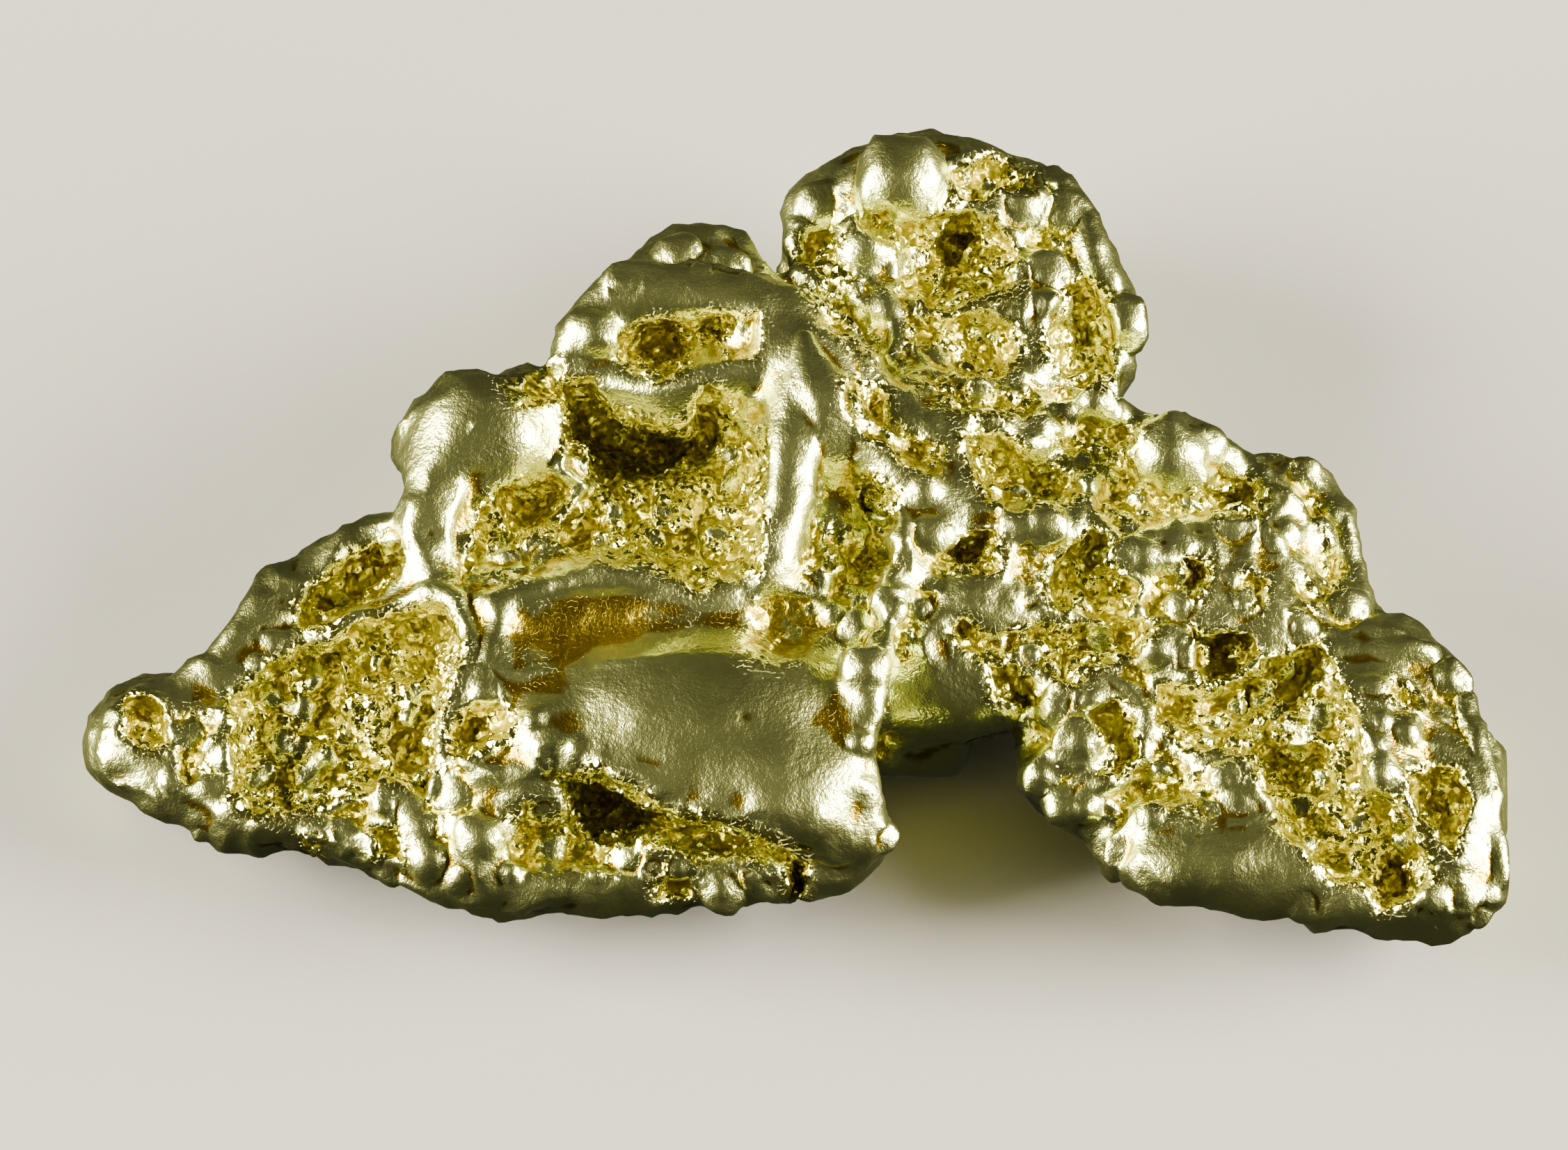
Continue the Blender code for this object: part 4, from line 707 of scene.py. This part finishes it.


# Native gold, a soft alloy with a little silver, worn by gravel in a stream bed. It reads as pale,
# slightly green gold, almost a mirror on the humps, and as deep yellow sparkle in the pits, where it was
# never rubbed. Its creases are painted darker, as painted shade.

gold = {
    "worn": ("#C6CE7C", "#D6DC8C"),
    # painted shade: a darker colour put into the creases, where the skin lies below what is around it
    "creaseShade": "#9A8420",
    "pit": ((0.12, "#B4A81E"), (0.42, "#E6E042"), (0.8, "#F0EA72")),  # from creases to the grains' tops, darker in the creases as painted shade
    "creaseShadeWear": (0.08, 0.38),  # the wear over which the painted crease shade gives way to the worn colour
    "wornRoughness": (0.20, 0.30),
    "pitRoughness": (0.36, 0.15),  # in the creases, and on the grains' tops
    "pitWear": (0.2, 0.7),  # the wear over which the one gives way to the other
    "rub": 0.13,  # mm across the largest rub marks
    "rubDepth": 0.016,  # mm
    "facetLean": 1.0,  # how steeply the crystal faces lean
    "facet": 0.060,  # mm across a crystal face, drawn coarser than the real grain so that it shows
    "blotch": 1.3,  # mm across the faint patches of tarnish
}


def perMm(size):
    # the scale of a pattern that repeats every so many millimetres
    return 1 / (size * mm)


def paint(ramp, stops):
    # colours along a ramp
    elements = ramp.color_ramp.elements
    while len(elements) < len(stops):
        elements.new(0.5)
    for element, (place, code) in zip(elements, stops):
        element.position = place
        element.color = linear(code)


def nativeGold():
    made = bpy.data.materials.new("native gold, stream worn")
    made.use_nodes = True
    tree = made.node_tree
    tree.nodes.clear()
    place = addNode(tree, "ShaderNodeTexCoord").outputs["Object"]
    pit = addNode(tree, "ShaderNodeAttribute", attribute_name="pit").outputs["Fac"]
    worn = addNode(tree, "ShaderNodeAttribute", attribute_name="worn").outputs["Fac"]

    blotch = addNode(tree, "ShaderNodeTexNoise", {"Vector": place},
                     {"Scale": perMm(gold["blotch"]), "Detail": 4.0, "Roughness": 0.6}).outputs["Fac"]
    tint = addNode(tree, "ShaderNodeMix", {"Factor": blotch}, data_type="RGBA")
    tint.inputs["A"].default_value = linear(gold["worn"][0])
    tint.inputs["B"].default_value = linear(gold["worn"][1])
    # painted shade: the worn colour darkens into the creases, where the skin lies below what is around it
    creaseShade = addNode(tree, "ShaderNodeMapRange", {"Value": worn},
                     {"From Min": gold["creaseShadeWear"][0], "From Max": gold["creaseShadeWear"][1]})
    wornWithCreaseShade = addNode(tree, "ShaderNodeMix",
                    {"Factor": creaseShade.outputs["Result"], "B": tint.outputs["Result"]},
                    {"A": linear(gold["creaseShade"])}, data_type="RGBA")
    # in the pits the colour also darkens into the creases as painted shade, and runs to the grains' own
    # yellow on their tops
    inPit = addNode(tree, "ShaderNodeValToRGB", {"Fac": worn})
    paint(inPit, gold["pit"])
    base = addNode(tree, "ShaderNodeMix",
                   {"Factor": pit, "A": wornWithCreaseShade.outputs["Result"], "B": inPit.outputs["Color"]},
                   data_type="RGBA")

    # crystal faces: each cell of the pattern is one small flat tilted its own way
    cells = addNode(tree, "ShaderNodeTexVoronoi", {"Vector": place}, {"Scale": perMm(gold["facet"])})
    away = addNode(tree, "ShaderNodeVectorMath", {0: place, 1: cells.outputs["Position"]},
                   operation="SUBTRACT")
    lean = addNode(tree, "ShaderNodeVectorMath", {0: cells.outputs["Color"]}, operation="SUBTRACT")
    lean.inputs[1].default_value = (0.5, 0.5, 0.5)
    facet = addNode(tree, "ShaderNodeVectorMath", {0: away.outputs[0], 1: lean.outputs[0]},
                    operation="DOT_PRODUCT").outputs["Value"]
    facetRise = addNode(tree, "ShaderNodeMath", {0: facet, 1: pit}, operation="MULTIPLY").outputs[0]
    facetBump = addNode(tree, "ShaderNodeBump", {"Height": facetRise},
                        {"Strength": 1.0, "Distance": gold["facetLean"]})

    # rub marks and tiny dents on the worn humps
    rub = addNode(tree, "ShaderNodeTexNoise", {"Vector": place},
                  {"Scale": perMm(gold["rub"]), "Detail": 3.0, "Roughness": 0.8}).outputs["Fac"]
    rubBump = addNode(tree, "ShaderNodeBump", {"Height": rub, "Normal": facetBump.outputs["Normal"]},
                      {"Strength": 1.0, "Distance": gold["rubDepth"] * mm})

    rough = addNode(tree, "ShaderNodeMapRange", {"Value": blotch},
                    {"To Min": gold["wornRoughness"][0], "To Max": gold["wornRoughness"][1]})
    inPit = addNode(tree, "ShaderNodeMapRange", {"Value": worn},
                    {"From Min": gold["pitWear"][0], "From Max": gold["pitWear"][1],
                     "To Min": gold["pitRoughness"][0], "To Max": gold["pitRoughness"][1]})
    rough = addNode(tree, "ShaderNodeMix",
                    {"Factor": pit, "A": rough.outputs["Result"], "B": inPit.outputs["Result"]},
                    data_type="FLOAT")
    shader = addNode(tree, "ShaderNodeBsdfPrincipled",
                     {"Base Color": base.outputs["Result"], "Roughness": rough.outputs["Result"],
                      "Normal": rubBump.outputs["Normal"]}, {"Metallic": 1.0})
    addNode(tree, "ShaderNodeOutputMaterial", {"Surface": shader.outputs["BSDF"]})
    return made


nugget.data.materials.clear()
nugget.data.materials.append(nativeGold())
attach(nugget, "root")
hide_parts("nugget")
print("gold")


# The studio: a pale floor, a softbox on either side of the camera, and a dim room.

studio = {
    "floor": "#898885",
    "floorSize": 0.8,  # m
    "floorRoughness": 0.85,
    "tooth": 0.4,  # mm across the card's tooth
    "toothDepth": 0.01,  # mm
    "room": "#6A6A66",
    "roomLight": 0.21,
    "lampColour": "#FFF6DE",
    # name, degrees round the camera's line from up, degrees away from that line, size in m, power in W
    "boxes": (
        ("left softbox", -80, 73, 0.10, 2.8),
        ("right softbox", 80, 73, 0.10, 2.8),
    ),
    "boxAway": 0.15,  # m
    "boxAim": 0.0015,  # m above the floor, where the boxes point
    "lens": 600.0,  # mm
    "sensor": 36.0,  # mm
    "frameWidth": 16.62,  # mm of the table that the frame is wide
    "aim": (-0.13, -0.03),  # mm across and up the view, where the frame's middle is in the lists
    "aimDepth": 1.5,  # mm towards the eye, where the nugget's middle lies
}


def floorPaper():
    # matt pale card, smooth and even
    made = bpy.data.materials.new("pale card")
    made.use_nodes = True
    tree = made.node_tree
    place = addNode(tree, "ShaderNodeTexCoord").outputs["Object"]
    tooth = addNode(tree, "ShaderNodeTexNoise", {"Vector": place},
                    {"Scale": perMm(studio["tooth"]), "Detail": 3.0})
    bump = addNode(tree, "ShaderNodeBump", {"Height": tooth.outputs["Fac"]},
                   {"Strength": 0.1, "Distance": studio["toothDepth"] * mm})
    shader = tree.nodes["Principled BSDF"]
    shader.inputs["Base Color"].default_value = linear(studio["floor"])
    shader.inputs["Roughness"].default_value = studio["floorRoughness"]
    tree.links.new(bump.outputs["Normal"], shader.inputs["Normal"])
    return made


def layFloor():
    bm = bmesh.new()
    bmesh.ops.create_grid(bm, x_segments=1, y_segments=1, size=studio["floorSize"] / 2)
    made = objectFrom(bm, "floor")
    made.data.materials.append(floorPaper())
    made.visible_glossy = False  # the metal mirrors the dim room, as it would on a dark stand


def hangSoftbox(name, place, size, power):
    lamp = bpy.data.lights.new(name, "AREA")
    lamp.size = size
    lamp.energy = power
    lamp.color = linear(studio["lampColour"])[:3]
    made = bpy.data.objects.new(name, lamp)
    made.location = place
    made.rotation_euler = (Vector((0, 0, studio["boxAim"])) - place).to_track_quat("-Z", "Y").to_euler()
    bpy.context.scene.collection.objects.link(made)


def setCamera():
    lens = bpy.data.cameras.new("camera")
    lens.lens = studio["lens"]
    lens.sensor_width = studio["sensor"]
    lens.sensor_fit = "HORIZONTAL"
    lens.clip_start = 0.01
    lens.dof.use_dof = False
    across, up = studio["aim"]
    inView = listShift - toEye * (listShift @ toEye)
    aim = (Vector((across, 0, 0)) + upView * up + inView + toEye * studio["aimDepth"]) * mm
    away = studio["lens"] / studio["sensor"] * studio["frameWidth"] * mm
    made = bpy.data.objects.new("camera", lens)
    turn = Matrix((Vector((1, 0, 0)), upView, toEye)).transposed().to_4x4()
    made.matrix_world = Matrix.Translation(aim + toEye * away) @ turn
    bpy.context.scene.collection.objects.link(made)
    bpy.context.scene.camera = made


layFloor()
for name, angle, tilt, size, power in studio["boxes"]:
    sideways = Vector((sin(radians(angle)), 0, 0)) + upView * cos(radians(angle))
    place = toEye * cos(radians(tilt)) + sideways * sin(radians(tilt))
    hangSoftbox(name, place * studio["boxAway"], size, power)
room = bpy.data.worlds.new("room")
room.use_nodes = True
room.node_tree.nodes["Background"].inputs["Color"].default_value = linear(studio["room"])
room.node_tree.nodes["Background"].inputs["Strength"].default_value = studio["roomLight"]
bpy.context.scene.world = room
setCamera()
print("studio")
